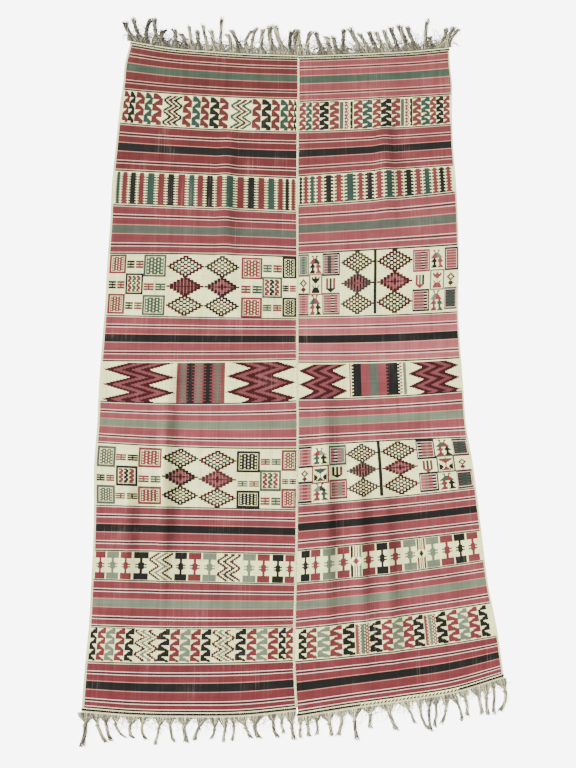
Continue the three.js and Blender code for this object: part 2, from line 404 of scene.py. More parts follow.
def fir(dye, tiers=8):
    """A column of tiers, each wider towards its foot."""

    def build(w, h):
        def inside(x, y):
            off = abs(x / w - 0.5) * 2
            tier = (y / h * tiers) % 1
            return dye if off < (0.5, 0.9, 1.0)[math.floor(tier * 3)] else None

        return Motif(steps(w, 20), steps(h, round(tiers * 3)), inside)

    return build


def framed(dye, inner, frame=8.5, line=2.0):
    """A border and a cream line round another figure."""

    def build(w, h):
        edge = frame + line
        core = inner(w - 2 * edge, h - 2 * edge)

        def inside(x, y):
            rim = min(x, y, w - x, h - y)
            if rim < frame:
                return dye
            if rim < edge:
                return None
            return core.dye(x - edge, y - edge)

        xs = [0, frame] + [edge + x for x in core.xs] + [w - frame, w]
        ys = [0, frame] + [edge + y for y in core.ys] + [h - frame, h]
        return Motif(xs, ys, inside)

    return build


def checker(dye, across, down):
    """Knots of one dye set as on a draughtboard, reaching a little over the ground between them."""

    def build(w, h):
        cell = w / across
        over = cell * CHECKER_JOIN

        def inside(x, y):
            j = int(y / h * down)
            near = [math.floor((x + d) / cell) for d in (-over, 0, over)]
            return dye if any((i + j) % 2 == 1 for i in near) else None

        xs = sorted({cell * i + d for i in range(across + 1) for d in (-over, 0, over)})
        return Motif([x for x in xs if 0 <= x <= w], steps(h, down), inside)

    return build


def chequered(dye, across, down):
    return framed(dye, checker(dye, across, down))


def three_waves(dyes, turns=3.4):
    """Three slim waves side by side."""

    def build(w, h):
        period = 1 / turns
        cell = w / 3
        bar = cell - 1.5
        parts = [wave(d, 0.12, 0.12 + period / 2, period, 0.5, 0.4)(bar, h) for d in dyes]

        def inside(x, y):
            i = min(int(x / cell), 2)
            return parts[i].dye(x - i * cell, y) if x - i * cell < bar else None

        return Motif([i * cell + x for i in range(3) for x in parts[i].xs], parts[0].ys, inside)

    return build


BAR = ("1111111.2222222",) * 3
DASH = BAR + ("...1.......2...",) + BAR + ("...1.......2...",) + BAR


def dash(dyes):
    """Two bundles of level bars side by side."""
    return chart(DASH, "1" + dyes[0] + "2" + dyes[1])


def rings(dyes, reach=5, joined=0.12):
    """Open diamonds one inside the other, each a chain of level knots."""

    def build(w, h):
        size = 2 * reach + 1
        cell = w / size
        overs = [cell * RIM_JOIN] + [cell * joined] * (len(dyes) - 1)
        row = h / size

        def inside(x, y):
            j = abs(int(y / row) - reach)
            for k, name in enumerate(dyes):
                for near in (x, x - overs[k], x + overs[k]):
                    if abs(math.floor(near / cell) - reach) + j == reach - 2 * k:
                        return name
            return None

        marks = {d * over for over in overs for d in (-1, 1)} | {0}
        xs = sorted({cell * i + d for i in range(size + 1) for d in marks})
        return Motif([x for x in xs if 0 <= x <= w], steps(h, size), inside)

    return build


def solid_diamond(dyes, reach=5):
    """A filled diamond with thin upright lines through it: rim, ground and centre."""

    def build(w, h):
        size = 2 * reach + 1
        cell = w / size
        line, middle = 1.6, 1.8

        def inside(x, y):
            if abs(y - h / 2) < middle:
                return dyes[0]
            i = abs(int(x / w * size) - reach)
            j = abs(int(y / h * size) - reach)
            if i + j > reach:
                return None
            if x % cell < line and i + j < reach:
                return "P"
            if i + j >= reach - 1:
                return dyes[0]
            return dyes[2] if i + j <= 1 else dyes[1]

        xs = sorted([cell * i for i in range(size + 1)] + [cell * i + line for i in range(size)])
        ys = sorted(steps(h, size) + [h / 2 - middle, h / 2 + middle])
        return Motif(xs, ys, inside)

    return build


def flame(swing, first, period, mirrored=False):
    """Nested zigzags in three dark lines on mauve; first is where the outer tips start."""

    def build(w, h):
        width = w - swing

        def inside(x, y):
            reach = triangle_wave(y / h, first, period) * swing
            t = ((w - x if mirrored else x) - reach) / width
            if t < 0 or t > 1:
                return None
            if t < 0.2 or 0.39 < t < 0.6 or 0.8 < t:
                return "M"
            return "m"

        return Motif(steps(w, round(w / FLAME_COLUMN)), steps(h, round(h / FLAME_ROW)), inside)

    return build


# The dye in every third row between bars of another
BETWEEN_BARS = {"R": "P", "r": "P", "q": "P", "G": "g", "g": "g", "k": "z", "D": "k", "K": "L"}


def barred(frame, dyes, side=5.0, deep=8.0):
    """A box with deep bars at its top and foot, and short level bars in columns inside."""

    def build(w, h):
        rim, three_rows = 2, 13
        rows = 3 * round((h - 2 * (deep + rim)) / three_rows) + 2
        left, top = side + rim, deep + rim

        def inside(x, y):
            if min(y, h - y) < deep or min(x, w - x) < side:
                return frame
            if min(y, h - y) < top or min(x, w - x) < left:
                return "L"
            column = dyes[min(int((x - left) / (w - 2 * left) * len(dyes)), len(dyes) - 1)]
            row = int((y - top) / (h - 2 * top) * rows)
            return BETWEEN_BARS[column] if row % 3 == 2 else column

        xs = [0, side] + [left + x for x in steps(w - 2 * left, len(dyes))] + [w - side, w]
        ys = [0, deep] + [top + y for y in steps(h - 2 * top, rows)] + [h - deep, h]
        return Motif(xs, ys, inside)

    return build


# Repeats charted as letters
FIGURE = (
    "...11..22....",
    "....1..2.....",
    "....1122.....",
    "...111222....",
    "..11112222...",
    ".1111122222..",
    "...33...44...",
    "..3333.4444..",
    ".33333.44444.",
    "...33...44...",
    "...33...44...",
    "..3333..444..",
    ".33333.44444.",
)
GOBLET = (
    "......1......",
    ".11..111..11.",
    ".11111111111.",
    "..111111111..",
    "....11111....",
    "......1......",
    ".2....3....2.",
    "..22..3..22..",
    "...2222222...",
    "..222222222..",
    ".22222222222.",
    ".22222222222.",
)
BUTTERFLY = (
    "......1......",
    "1111111111111",
    ".11111111111.",
    "...1111111...",
    ".....111.....",
    "2.....1.....2",
    "222...1...222",
    "2222..3..2222",
    "2222.333.2222",
    "222.33333.222",
    "2.333333333.2",
)
COMB = ("11.22.33",) * 10 + ("44444444", ".444444.", "..4444..", "...44...")
TWO_DIAMONDS = (
    "...1...",
    "..111..",
    ".11.11.",
    "11...11",
    ".11.11.",
    "..111..",
    "...1...",
    "..222..",
    ".22222.",
    "..222..",
    "...2...",
)
PILLAR = (
    ("1111111111",) * 5
    + ("....11....",) * 3
    + ("...1111...", ".11111111.", "...1111...", ".11111111.", "...1111...")
    + ("....11....",) * 3
    + ("1111111111",) * 5
)
CROSSED = (
    ("11.2.2.33",) * 7
    + ("1...2...3", "...222...", "..22222..", "...222...", "1...2...3")
    + ("11.2.2.33",) * 7
)
TICKED = ("1111.22rr..333", "1111..rr.r.333", "1111.22rr..333", "1111..r.rr..33") * 4 + ("1111.22rr..333",)
CHECKED = ("1r1.g2g2g1.1r", "r1r1.g2g.1r1.") * 9


# ---------------------------------------------------------------- bands

# A band is a list of blocks: ((left, right), [(left, right, top share, bottom share, motif), ...])


def one_each(entries, top, bottom, make):
    """A block for each (dye, left, right), filled by one motif."""
    return [((a, b), [(a, b, top, bottom, make(dye))]) for dye, a, b in entries]


def centred(entries, top, bottom, make):
    """The same for each (dye, centre, half width)."""
    spans, wider, gap = [], 1.3, 1
    for dye, c, half in entries:
        low = max(c - half * wider, spans[-1][2] + gap) if spans else c - half
        spans.append((dye, low, c + half * wider))
    return one_each(spans, top, bottom, make)


def waves(entries, left, right, period, top=0.015, bottom=0.985, **notch):
    """Waves whose spikes start at these shares down the band."""
    entries = [(dye, a - 2, b + 1) for dye, a, b in entries]
    tall = bottom - top
    phase = ((left - top) / tall, (right - top) / tall, period / tall)
    return one_each(entries, top, bottom, lambda dye: wave(dye, *phase, **notch))


def paired(left, right, ends, motif, middle):
    """A block with the same motif at its head and foot and another figure between."""
    a, b, top, head, foot, bottom = ends
    return (left, right), [(a, b, top, head, motif), middle, (a, b, foot, bottom, motif)]


def insert(left, right, motif, top=0.05, bottom=0.97):
    """A block with one figure between the runs of like columns."""
    return [((left, right), [(left, right, top, bottom, motif)])]


def pillars(entries):
    return one_each(entries, 0.01, 0.99, lambda dye: chart(PILLAR, "1" + dye))


def low_waves(entries, *phase):
    return waves(entries, *phase, reach=0.66, rise=0.4)


def band_1_left():
    first = [("R", -700, -677), ("K", -675, -652), ("R", -648, -612), ("D", -608, -578), ("R", -575, -535)]
    second = [("R", -445, -410), ("D", -405, -372), ("R", -368, -335), ("K", -330, -293), ("R", -290, -253)]
    third = [
        ("R", -150, -115), ("K", -110, -72), ("R", -68, -35), ("D", -30, 0), ("R", 3, 24), ("K", 27, 36),
    ]
    phase = (0.20, 0.02, 0.36)
    return (
        waves(first, *phase)
        + insert(-530, -449, zigzag("KBK", 0.16, 0.37))
        + waves(second, *phase)
        + insert(-243, -154, zigzag("DBD", 0.22, 0.38))
        + waves(third, *phase)
    )


def band_1_right():
    first = [("R", 50, 75), ("D", 78, 101), ("R", 105, 132), ("K", 135, 173), ("R", 178, 216)]
    second = [("R", 280, 315), ("D", 318, 356), ("R", 360, 392), ("K", 395, 437), ("R", 440, 475)]
    third = [("R", 530, 563), ("D", 566, 600), ("R", 603, 627), ("K", 629, 658), ("R", 660, 685)]
    phase = (0.06, 0.19, 0.255)
    return (
        waves(first, *phase)
        + insert(219, 275, chart(TICKED, "1h2B3K"))
        + waves(second, *phase)
        + insert(478, 527, chart(TICKED, "1h2B3K"))
        + waves(third, *phase)
    )


def band_2_left():
    entries = [
        ("D", -702, 8), ("R", -674, 11), ("K", -640, 13), ("R", -605, 12), ("D", -566, 17), ("R", -526, 17),
        ("K", -486, 17), ("R", -441, 19), ("D", -400, 15), ("R", -363, 15), ("K", -324, 16), ("R", -282, 15),
        ("D", -241, 18), ("R", -197, 18), ("K", -152, 16), ("R", -111, 16), ("D", -70, 16), ("R", -31, 12),
        ("K", -3, 8), ("R", 22, 8),
    ]
    return centred(entries, 0.02, 0.98, barbed)


def band_2_right():
    entries = [
        ("K", 52, 6), ("R", 74, 10), ("D", 99, 11), ("R", 128, 13), ("K", 167, 17), ("R", 207, 17),
        ("D", 254, 22), ("R", 295, 16), ("K", 334, 18), ("R", 372, 17), ("D", 417, 19), ("R", 457, 16),
        ("K", 497, 18), ("R", 537, 15), ("D", 575, 15), ("R", 608, 11), ("K", 637, 11), ("R", 664, 11),
    ]
    return centred(entries, 0.02, 0.98, fir)


def band_3_left():
    return [
        paired(-713, -649, (-712, -650, 0.02, 0.31, 0.67, 0.97), chequered("R", 4, 12),
               (-712, -653, 0.46, 0.56, dash("KR"))),
        paired(-646, -579, (-642, -581, 0.12, 0.22, 0.80, 0.89), dash("KR"),
               (-646, -579, 0.33, 0.65, framed("K", three_waves("RGR")))),
        paired(-576, -488, (-575, -490, 0.02, 0.36, 0.68, 0.98), chequered("G", 5, 10),
               (-573, -490, 0.49, 0.58, dash("RG"))),
        paired(-484, -336, (-482, -338, 0.03, 0.36, 0.67, 0.98), rings("MDM"),
               (-482, -338, 0.36, 0.68, solid_diamond("MBB"))),
        paired(-332, -194, (-330, -196, 0.03, 0.36, 0.67, 0.98), rings("KMD"),
               (-330, -196, 0.36, 0.68, solid_diamond("NmM"))),
        paired(-184, -104, (-184, -105, 0.04, 0.37, 0.69, 0.99), chequered("R", 5, 10),
               (-184, -106, 0.50, 0.60, dash("RD"))),
        paired(-101, -25, (-97, -27, 0.15, 0.25, 0.80, 0.88), dash("GR"),
               (-101, -25, 0.35, 0.67, framed("G", three_waves("RKR")))),
        paired(-21, 32, (-20, 31, 0.01, 0.34, 0.68, 0.97), chequered("K", 4, 11),
               (-18, 29, 0.48, 0.56, dash("KR"))),
    ]


def band_3_right():
    return [
        ((42, 82), [
            (42, 81, 0.02, 0.36, barred("G", "gGg", side=5)),
            (49, 74, 0.42, 0.62, chart(TWO_DIAMONDS, "1B2B")),
            (43, 82, 0.65, 0.98, barred("K", "rRr", side=2.5)),
        ]),
        ((84, 136), [
            (84, 134, 0.05, 0.31, chart(FIGURE, "1R2k3K4R")),
            (86, 135, 0.34, 0.66, framed("r", chart(GOBLET, "1K2K3D"), 6, 2.5)),
            (84, 134, 0.68, 0.97, chart(FIGURE, "1G2R3R4K")),
        ]),
        ((139, 205), [
            (139, 204, 0.02, 0.36, barred("K", "qkqK")),
            (154, 186, 0.42, 0.62, chart(COMB, "1R2k3R4K")),
            (139, 204, 0.65, 0.97, barred("R", "qRKR")),
        ]),
        paired(212, 340, (214, 339, 0.01, 0.33, 0.67, 0.97), rings("kMK", joined=0.17),
               (214, 339, 0.34, 0.66, solid_diamond("kMm"))),
        ((343, 351), [(343, 351, 0, 0.97, plain("K"))]),
        ((355, 496), [
            (357, 493, 0.01, 0.34, rings("MKM", joined=0.17)),
            (357, 493, 0.34, 0.66, solid_diamond("MmM")),
            (357, 493, 0.65, 0.97, rings("MDM", joined=0.17)),
        ]),
        ((498, 563), [
            (499, 562, 0.04, 0.36, barred("R", "qRKR")),
            (511, 540, 0.43, 0.61, chart(COMB, "1R2g3K4R")),
            (498, 561, 0.65, 0.96, barred("K", "RqRK")),
        ]),
        ((566, 622), [
            (567, 620, 0.06, 0.31, chart(FIGURE, "1R2g3K4R")),
            (568, 620, 0.36, 0.65, framed("g", chart(GOBLET, "1R2R3R"), 6, 2.5)),
            (567, 620, 0.68, 0.96, chart(FIGURE, "1g2R3R4G")),
        ]),
        ((625, 675), [
            (626, 674, 0.03, 0.36, barred("K", "RRR")),
            (634, 662, 0.42, 0.60, chart(TWO_DIAMONDS, "1B2B")),
            (626, 670, 0.64, 0.95, barred("q", "kDk", side=2.5)),
        ]),
    ]


def band_4_left():
    columns = (
        ("q", -417, -389), ("K", -391, -361), ("q", -359, -330), ("K", -325, -293), ("q", -287, -258),
    )
    return [
        ((-716, -432), [(-716, -432, 0.03, 1.0, flame(105, 0.18, 0.385))]),
        ((-430, -243), [(-430, -243, 0.03, 1.0, plain("R"))] + [
            (a, b, 0.03, 1.0, barbed(dye, 13, pointed=False, waist=0.45)) for dye, a, b in columns
        ]),
        ((-240, 32), [(-240, 32, 0.03, 1.0, flame(92, 0.15, 0.39, mirrored=True))]),
    ]


def band_4_right():
    return [
        ((41, 230), [(41, 230, 0.04, 1.0, flame(58, 0.20, 0.40))]),
        ((236, 460), [
            (237, 242, 0.03, 0.98, plain("r")),
            (245, 292, 0.03, 0.98, barbed("K", 10, pointed=False, waist=0.7)),
            (282, 316, 0.03, 0.98, plain("R")),
            (316, 349, 0.03, 0.98, plain("h")),
            (349, 389, 0.03, 0.98, plain("R")),
            (380, 432, 0.03, 0.98, barbed("K", 10, pointed=False, waist=0.7)),
            (432, 441, 0.03, 0.98, chart(("RR", "..") * 10)),
            (445, 457, 0.03, 0.98, plain("g")),
        ]),
        ((463, 664), [(463, 664, 0.04, 1.0, flame(60, 0.36, 0.385))]),
    ]


def band_5_left():
    return [
        paired(-713, -647, (-712, -648, 0.05, 0.37, 0.69, 0.97), chequered("h", 5, 10),
               (-712, -650, 0.52, 0.60, dash("KR"))),
        paired(-643, -563, (-642, -564, 0.17, 0.25, 0.81, 0.88), dash("RK"),
               (-640, -564, 0.36, 0.67, framed("K", three_waves("RKR")))),
        paired(-559, -473, (-558, -474, 0.04, 0.35, 0.69, 0.96), chequered("R", 5, 10),
               (-556, -476, 0.51, 0.60, dash("RG"))),
        paired(-468, -336, (-466, -338, 0.03, 0.34, 0.66, 0.96), rings("KMD"),
               (-466, -338, 0.34, 0.66, solid_diamond("NmM"))),
        paired(-334, -194, (-332, -196, 0.05, 0.37, 0.69, 1.0), rings("MDM"),
               (-332, -196, 0.37, 0.69, solid_diamond("BmM"))),
        paired(-191, -106, (-190, -107, 0.05, 0.39, 0.72, 1.0), chequered("K", 5, 10),
               (-186, -110, 0.56, 0.63, dash("GR"))),
        paired(-104, -27, (-100, -30, 0.18, 0.26, 0.83, 0.93), dash("RG"),
               (-103, -28, 0.37, 0.70, framed("G", three_waves("RGR")))),
        paired(-22, 31, (-22, 30, 0.03, 0.36, 0.68, 0.98), chequered("R", 4, 10),
               (-20, 28, 0.52, 0.58, dash("RK"))),
    ]


def band_5_right():
    return [
        paired(40, 89, (40, 88, 0.02, 0.37, 0.63, 0.98), barred("K", "rRr", side=2.5),
               (51, 74, 0.43, 0.61, chart(TWO_DIAMONDS, "1B2B"))),
        ((90, 152), [
            (91, 150, 0.06, 0.32, chart(FIGURE, "1R2g3G4K")),
            (91, 150, 0.36, 0.66, framed("R", chart(BUTTERFLY, "1D2K3k"), 6, 2.5)),
            (91, 150, 0.68, 0.95, chart(FIGURE, "1g2K3R4D")),
        ]),
        ((155, 218), [
            (156, 217, 0.03, 0.36, barred("G", "RKrg")),
            (167, 201, 0.41, 0.58, chart(COMB, "1K2k3R4K")),
            (156, 217, 0.63, 0.95, barred("R", "qrgR")),
        ]),
        paired(221, 337, (222, 336, 0.03, 0.35, 0.65, 0.95), rings("kMK", joined=0.17),
               (222, 336, 0.35, 0.63, solid_diamond("kMm"))),
        ((340, 349), [(340, 349, 0, 0.96, plain("K"))]),
        paired(352, 487, (354, 485, 0.02, 0.35, 0.64, 0.97), rings("MDM", joined=0.17),
               (354, 485, 0.35, 0.63, solid_diamond("MmM"))),
        ((489, 557), [
            (489, 556, 0.01, 0.36, barred("K", "KRqR")),
            (508, 540, 0.41, 0.61, chart(COMB, "1R2k3R4R")),
            (489, 556, 0.63, 0.97, barred("K", "rqRK")),
        ]),
        paired(560, 626, (561, 625, 0.03, 0.31, 0.68, 0.96), chart(FIGURE, "1G2R3R4K"),
               (561, 625, 0.33, 0.64, framed("G", chart(BUTTERFLY, "1R2K3R"), 6, 2.5))),
        paired(629, 686, (629, 684, 0.02, 0.34, 0.64, 0.98), barred("B", "kDk", side=2.5),
               (642, 668, 0.42, 0.60, chart(TWO_DIAMONDS, "1B2B"))),
    ]


def band_6_left():
    first = [("R", -699, -663), ("g", -658, -614), ("R", -608, -567), ("K", -560, -506)]
    second = [("K", -411, -367), ("R", -361, -315), ("g", -309, -260)]
    third = [("g", -164, -117), ("R", -111, -66), ("K", -57, -16), ("R", -11, 24)]
    return (
        pillars(first)
        + insert(-504, -418, zigzag("BgB", 0.26, 0.48, thick=7.4), 0.02, 0.98)
        + pillars(second)
        + insert(-258, -172, zigzag("BkB", 0.28, 0.47, thick=7.4), 0.02, 0.98)
        + pillars(third)
    )


def band_6_right():
    first = [("K", 48, 80), ("R", 83, 118), ("g", 126, 173), ("R", 179, 224)]
    second = [("R", 268, 317), ("K", 322, 362), ("R", 367, 414), ("g", 421, 468)]
    third = [("g", 504, 552), ("R", 557, 604), ("K", 609, 650), ("R", 656, 698)]
    return (
        pillars(first)
        + insert(228, 266, chart(CROSSED, "1K2R3g"), 0.01, 0.99)
        + pillars(second)
        + insert(471, 501, chart(CROSSED, "1R2K3R"), 0.01, 0.99)
        + pillars(third)
    )


def band_7_left():
    first = [("K", -700, -679), ("R", -674, -649), ("g", -645, -615), ("R", -610, -580), ("K", -575, -547)]
    second = [("K", -458, -421), ("R", -416, -385), ("g", -381, -347), ("R", -343, -311), ("K", -306, -274)]
    third = [
        ("K", -185, -150), ("R", -145, -113), ("g", -110, -74), ("R", -70, -36), ("K", -32, -9),
        ("R", -6, 18),
    ]
    phase = (0.04, 0.20, 0.31)
    return (
        low_waves(first, *phase)
        + insert(-544, -460, zigzag("BgB", 0.06, 0.36, thick=7.4))
        + low_waves(second, *phase)
        + insert(-270, -189, zigzag("BgB", 0.08, 0.36, thick=7.4))
        + low_waves(third, *phase)
    )


def band_7_right():
    first = [("K", 39, 65), ("R", 68, 101), ("g", 106, 148), ("R", 150, 191), ("K", 196, 236)]
    second = [("K", 292, 332), ("R", 336, 370), ("g", 373, 410), ("R", 412, 447), ("K", 449, 484)]
    third = [("K", 532, 567), ("R", 571, 609), ("g", 612, 647), ("R", 649, 685), ("K", 690, 719)]
    phase = (0.02, 0.17, 0.31)
    return (
        low_waves(first, *phase)
        + insert(239, 290, chart(CHECKED, "1R2G"))
        + low_waves(second, *phase)
        + insert(487, 530, chart(CHECKED, "1R2g"))
        + low_waves(third, *phase)
    )


BANDS = {
    "left": (band_1_left, band_2_left, band_3_left, band_4_left, band_5_left, band_6_left, band_7_left),
    "right": (
        band_1_right, band_2_right, band_3_right, band_4_right, band_5_right, band_6_right, band_7_right,
    ),
}
# The bands with boxes, whose small figures are drawn a little larger
BOXED_BANDS = (2, 4)

# A stripe group down its height: where each stripe ends, and its dye. "*" is the group's own colour
STRIPES = (
    (0.028, "K"), (0.043, "L"), (0.193, "R"), (0.208, "L"), (0.223, "R"), (0.241, "K"),
    (0.256, "R"), (0.271, "L"), (0.398, "R"), (0.414, "P"), (0.580, "*"), (0.597, "P"), (0.768, "R"),
    (0.783, "L"), (0.797, "R"), (0.815, "K"), (0.829, "R"), (0.844, "L"), (0.956, "R"),
    (0.971, "L"), (1.0, "K"),
)
TOP_EDGE = ((0.018, "C"), (0.050, "K"), (0.060, "R"), (0.072, "L"))
FOOT_EDGE = ((0.928, "R"), (0.942, "L"), (0.952, "R"), (0.980, "K"), (1.0, "C"))
GROUP_DYES = "GKhKgKgK"
# Selvedge width in mm, the grid that the marks of a section lie on, and the longest sides of a face in mm
SELVEDGE = {"left": 8.5, "right": 6.0}
SHARE_STEP, FULL_SHARE = 1 / 1400, 1400
DOWN_STEP, FULL_DOWN = 1 / 400, 400
WIDEST, TALLEST = 17.0, 36.0


def group_stripes(number):
    """Where each stripe of a group ends, and its dye. The first and last group have edges of their own."""
    rows = list(STRIPES)
    if number == 0:
        rows = list(TOP_EDGE) + rows[2:]
    if number == len(GROUP_DYES) - 1:
        rows = rows[:-3] + list(FOOT_EDGE)
    return [(end, GROUP_DYES[number] if dye == "*" else dye) for end, dye in rows]


def snapped(value, step):
    """The number of the nearest grid mark."""
    return round(value / step)


def filled(marks, longest):
    """Marks in order, with more between those that lie too far apart."""
    marks = sorted(set(marks))
    result = [marks[0]]
    for mark in marks[1:]:
        pieces = max(1, math.ceil((mark - result[-1]) / longest))
        start = result[-1]
        result += [round(start + (mark - start) * i / pieces) for i in range(1, pieces + 1)]
    return result


class Block:
    """A part of a section from line to line with its own marks down, cuts across and dyes."""

    def __init__(self, xs, vs, cuts, dye):
        self.xs = xs
        self.vs = vs
        self.rows = [self.cells(cuts, dye, (v0 + v1) / 2) for v0, v1 in zip(vs, vs[1:])]
        beside = zip([[]] + self.rows, self.rows + [[]])
        self.lines = [sorted({x for row in pair for cell in row for x in cell[:2]}) for pair in beside]

    def cells(self, cuts, dye, v):
        """The cells of a row: from, to and dye. Neighbours of one dye join, up to the next cut."""
        row = []
        for x0, x1 in zip(self.xs, self.xs[1:]):
            name = dye((x0 + x1) / 2, v)
            if row and row[-1][2] == name and x0 not in cuts:
                row[-1] = (row[-1][0], x1, name)
            else:
                row.append((x0, x1, name))
        return row


def stripe_block(side, number, width):
    """The one block of a stripe group, with its selvedge."""
    rows = group_stripes(number)
    marks = [0] + [snapped(end, DOWN_STEP) for end, _ in rows]
    edge = snapped(SELVEDGE[side] / width, SHARE_STEP)
    xs = filled([0, edge, FULL_SHARE], WIDEST / width / SHARE_STEP)

    def at(x, v):
        if x < edge:
            return "S"
        for end, name in rows:
            if v * DOWN_STEP <= end:
                return name
        return "R"

    return Block(xs, marks, xs, at)


def touching(entries, near=8.0):
    """Neighbouring blocks that overlap or are less than this apart, made to meet half way."""
    spans = [list(span) for span, _ in entries]
    for a, b in zip(spans, spans[1:]):
        if b[0] - a[1] < near:
            a[1] = b[0] = (a[1] + b[0]) / 2
    return [(tuple(span), figures) for span, (_, figures) in zip(spans, entries)]


def bolder(entries, wide=2.5, tall=0.012):
    """The same figures, each a little larger all round."""
    return [
        ((low - wide, high + wide), [
            (x0 - wide, x1 + wide, max(v0 - tall, 0), min(v1 + tall, 1), motif)
            for x0, x1, v0, v1, motif in figures
        ])
        for (low, high), figures in entries
    ]


def band_blocks(side, entries, y, height):
    """Blocks for a band: one for each column of figures, and plain ground between them."""
    outer, inner = panel_span(side, y)
    width = abs(inner - outer)
    widest = WIDEST / width / SHARE_STEP
    tallest = TALLEST / height / DOWN_STEP

    def mark(x):
        return min(max(snapped((x - outer) / (inner - outer), SHARE_STEP), 0), FULL_SHARE)

    def ground(a, b):
        cuts = filled([a, b], widest)
        return Block(cuts, filled([0, FULL_DOWN], tallest), cuts, lambda x, v: "C")

    blocks = []
    place = 0
    entries = touching(entries)
    if side == "right":
        entries = entries[::-1]
    for (low, high), figures in entries:
        a, b = sorted((mark(low), mark(high)))
        if a > place:
            blocks.append(ground(place, a))
        cuts = filled([a, b], widest)
        xs, vs, built = set(cuts), {0, FULL_DOWN}, []
        for x0, x1, v0, v1, motif in figures:
            made = motif(x1 - x0, (v1 - v0) * height)
            built.append((x0, x1, v0 * height, v1 * height, made))
            xs |= {mark(x0 + x) for x in made.xs}
            vs |= {min(snapped((v0 * height + v) / height, DOWN_STEP), FULL_DOWN) for v in made.ys}

        def dye(x, v, built=built):
            px = outer + x * SHARE_STEP * (inner - outer)
            py = v * DOWN_STEP * height
            found = "C"
            for x0, x1, y0, y1, made in built:
                if x0 < px < x1 and y0 < py < y1:
                    found = made.dye(px - x0, py - y0) or found
            return found

        blocks.append(Block(sorted(x for x in xs if a <= x <= b), filled(vs, tallest), cuts, dye))
        place = b
    if place < FULL_SHARE:
        blocks.append(ground(place, FULL_SHARE))
    return blocks


def panel_sections(side):
    """Lists of blocks from the top end down: stripe groups and bands by turns."""
    sections = []
    for number in range(len(LINES[side]) + 1):
        top, bottom = line_height(side, number, 0.5), line_height(side, number + 1, 0.5)
        middle, height = (top + bottom) / 2, top - bottom
        outer, inner = panel_span(side, middle)
        if number % 2 == 0:
            sections.append([stripe_block(side, number // 2, abs(inner - outer))])
        else:
            figures = BANDS[side][number // 2]()
            if number // 2 in BOXED_BANDS:
                figures = bolder(figures)
            sections.append(band_blocks(side, figures, middle, height))
    return sections


class Weave:
    """Gathers the points and faces of a panel's top."""

    def __init__(self, side):
        self.side = side
        self.points = []
        self.flat = []
        self.index = {}
        self.faces = []
        self.dyes = []
        self.sections = panel_sections(side)
        self.rows = {}
        self.posts = {}

    def point(self, section, x, v):
        """The number of the point at grid marks across and down a section, made when it is new."""
        if v == 0:
            key = (section, x)
        elif v == FULL_DOWN:
            key = (section + 1, x)
        else:
            key = (section, x, v)
        if key not in self.index:
            share = x * SHARE_STEP
            top = line_height(self.side, section, share)
            bottom = line_height(self.side, section + 1, share)
            y = top + (bottom - top) * v * DOWN_STEP
            outer, inner = panel_span(self.side, y)
            self.index[key] = len(self.points)
            across = outer + share * (inner - outer)
            self.points.append(plan_point(across, y, crease_height(self.side, share, y)))
            self.flat.append((across, y))
        return self.index[key]

    def gather(self):
        """Find the marks that neighbours share, then make every cell."""
        for s, blocks in enumerate(self.sections):
            for block in blocks:
                self.rows.setdefault(s, set()).update(block.lines[0])
                self.rows.setdefault(s + 1, set()).update(block.lines[-1])
                for x in (block.xs[0], block.xs[-1]):
                    self.posts.setdefault((s, x), set()).update(block.vs)
        for s, blocks in enumerate(self.sections):
            for block in blocks:
                for j, row in enumerate(block.rows):
                    for cell in row:
                        self.add(s, block, j, cell)

    def add(self, s, block, j, cell):
        """A face for a cell, with all the points that its neighbours have on its sides."""
        x0, x1, dye = cell
        loop = self.across(s, block, j, x0, x1)
        loop += self.down(s, block, x1, j)
        loop += self.across(s, block, j + 1, x0, x1)[::-1]
        loop += self.down(s, block, x0, j)[::-1]
        corners = []
        for x, v in loop:
            p = self.point(s, x, v)
            if not corners or corners[-1] != p:
                corners.append(p)
        if corners[0] == corners[-1]:
            corners.pop()
        self.faces.append(corners)
        self.dyes.append((dye, s))

    def across(self, s, block, j, x0, x1):
        """Places on a level line of a block between two marks across."""
        line = block.lines[j]
        if j == 0:
            line = self.rows[s]
        elif j == len(block.rows):
            line = self.rows[s + 1]
        return [(x, block.vs[j]) for x in sorted(m for m in line if x0 <= m <= x1)]

    def down(self, s, block, x, j):
        """Places on an upright side of a cell in a row."""
        v0, v1 = block.vs[j], block.vs[j + 1]
        if x in (block.xs[0], block.xs[-1]):
            return [(x, v) for v in sorted(m for m in self.posts[s, x] if v0 <= m <= v1)]
        return [(x, v0), (x, v1)]


def closed_sheet(upper, lower, faces):
    """Points and faces of a closed sheet: the faces on the upper points, on the lower ones, and a rim."""
    count = len(upper)
    edges = {}
    for face in faces:
        for edge in zip(face, face[1:] + face[:1]):
            edges[edge] = True
    rim = [(b, a, a + count, b + count) for a, b in edges if (b, a) not in edges]
    below = [tuple(p + count for p in face[::-1]) for face in faces]
    return upper + lower, [tuple(face) for face in faces] + below + rim


def new_object(name, points, faces, material):
    mesh = bpy.data.meshes.new(name)
    mesh.from_pydata(points, [], faces)
    mesh.update()
    piece = bpy.data.objects.new(name, mesh)
    bpy.context.scene.collection.objects.link(piece)
    mesh.materials.append(material)
    return piece


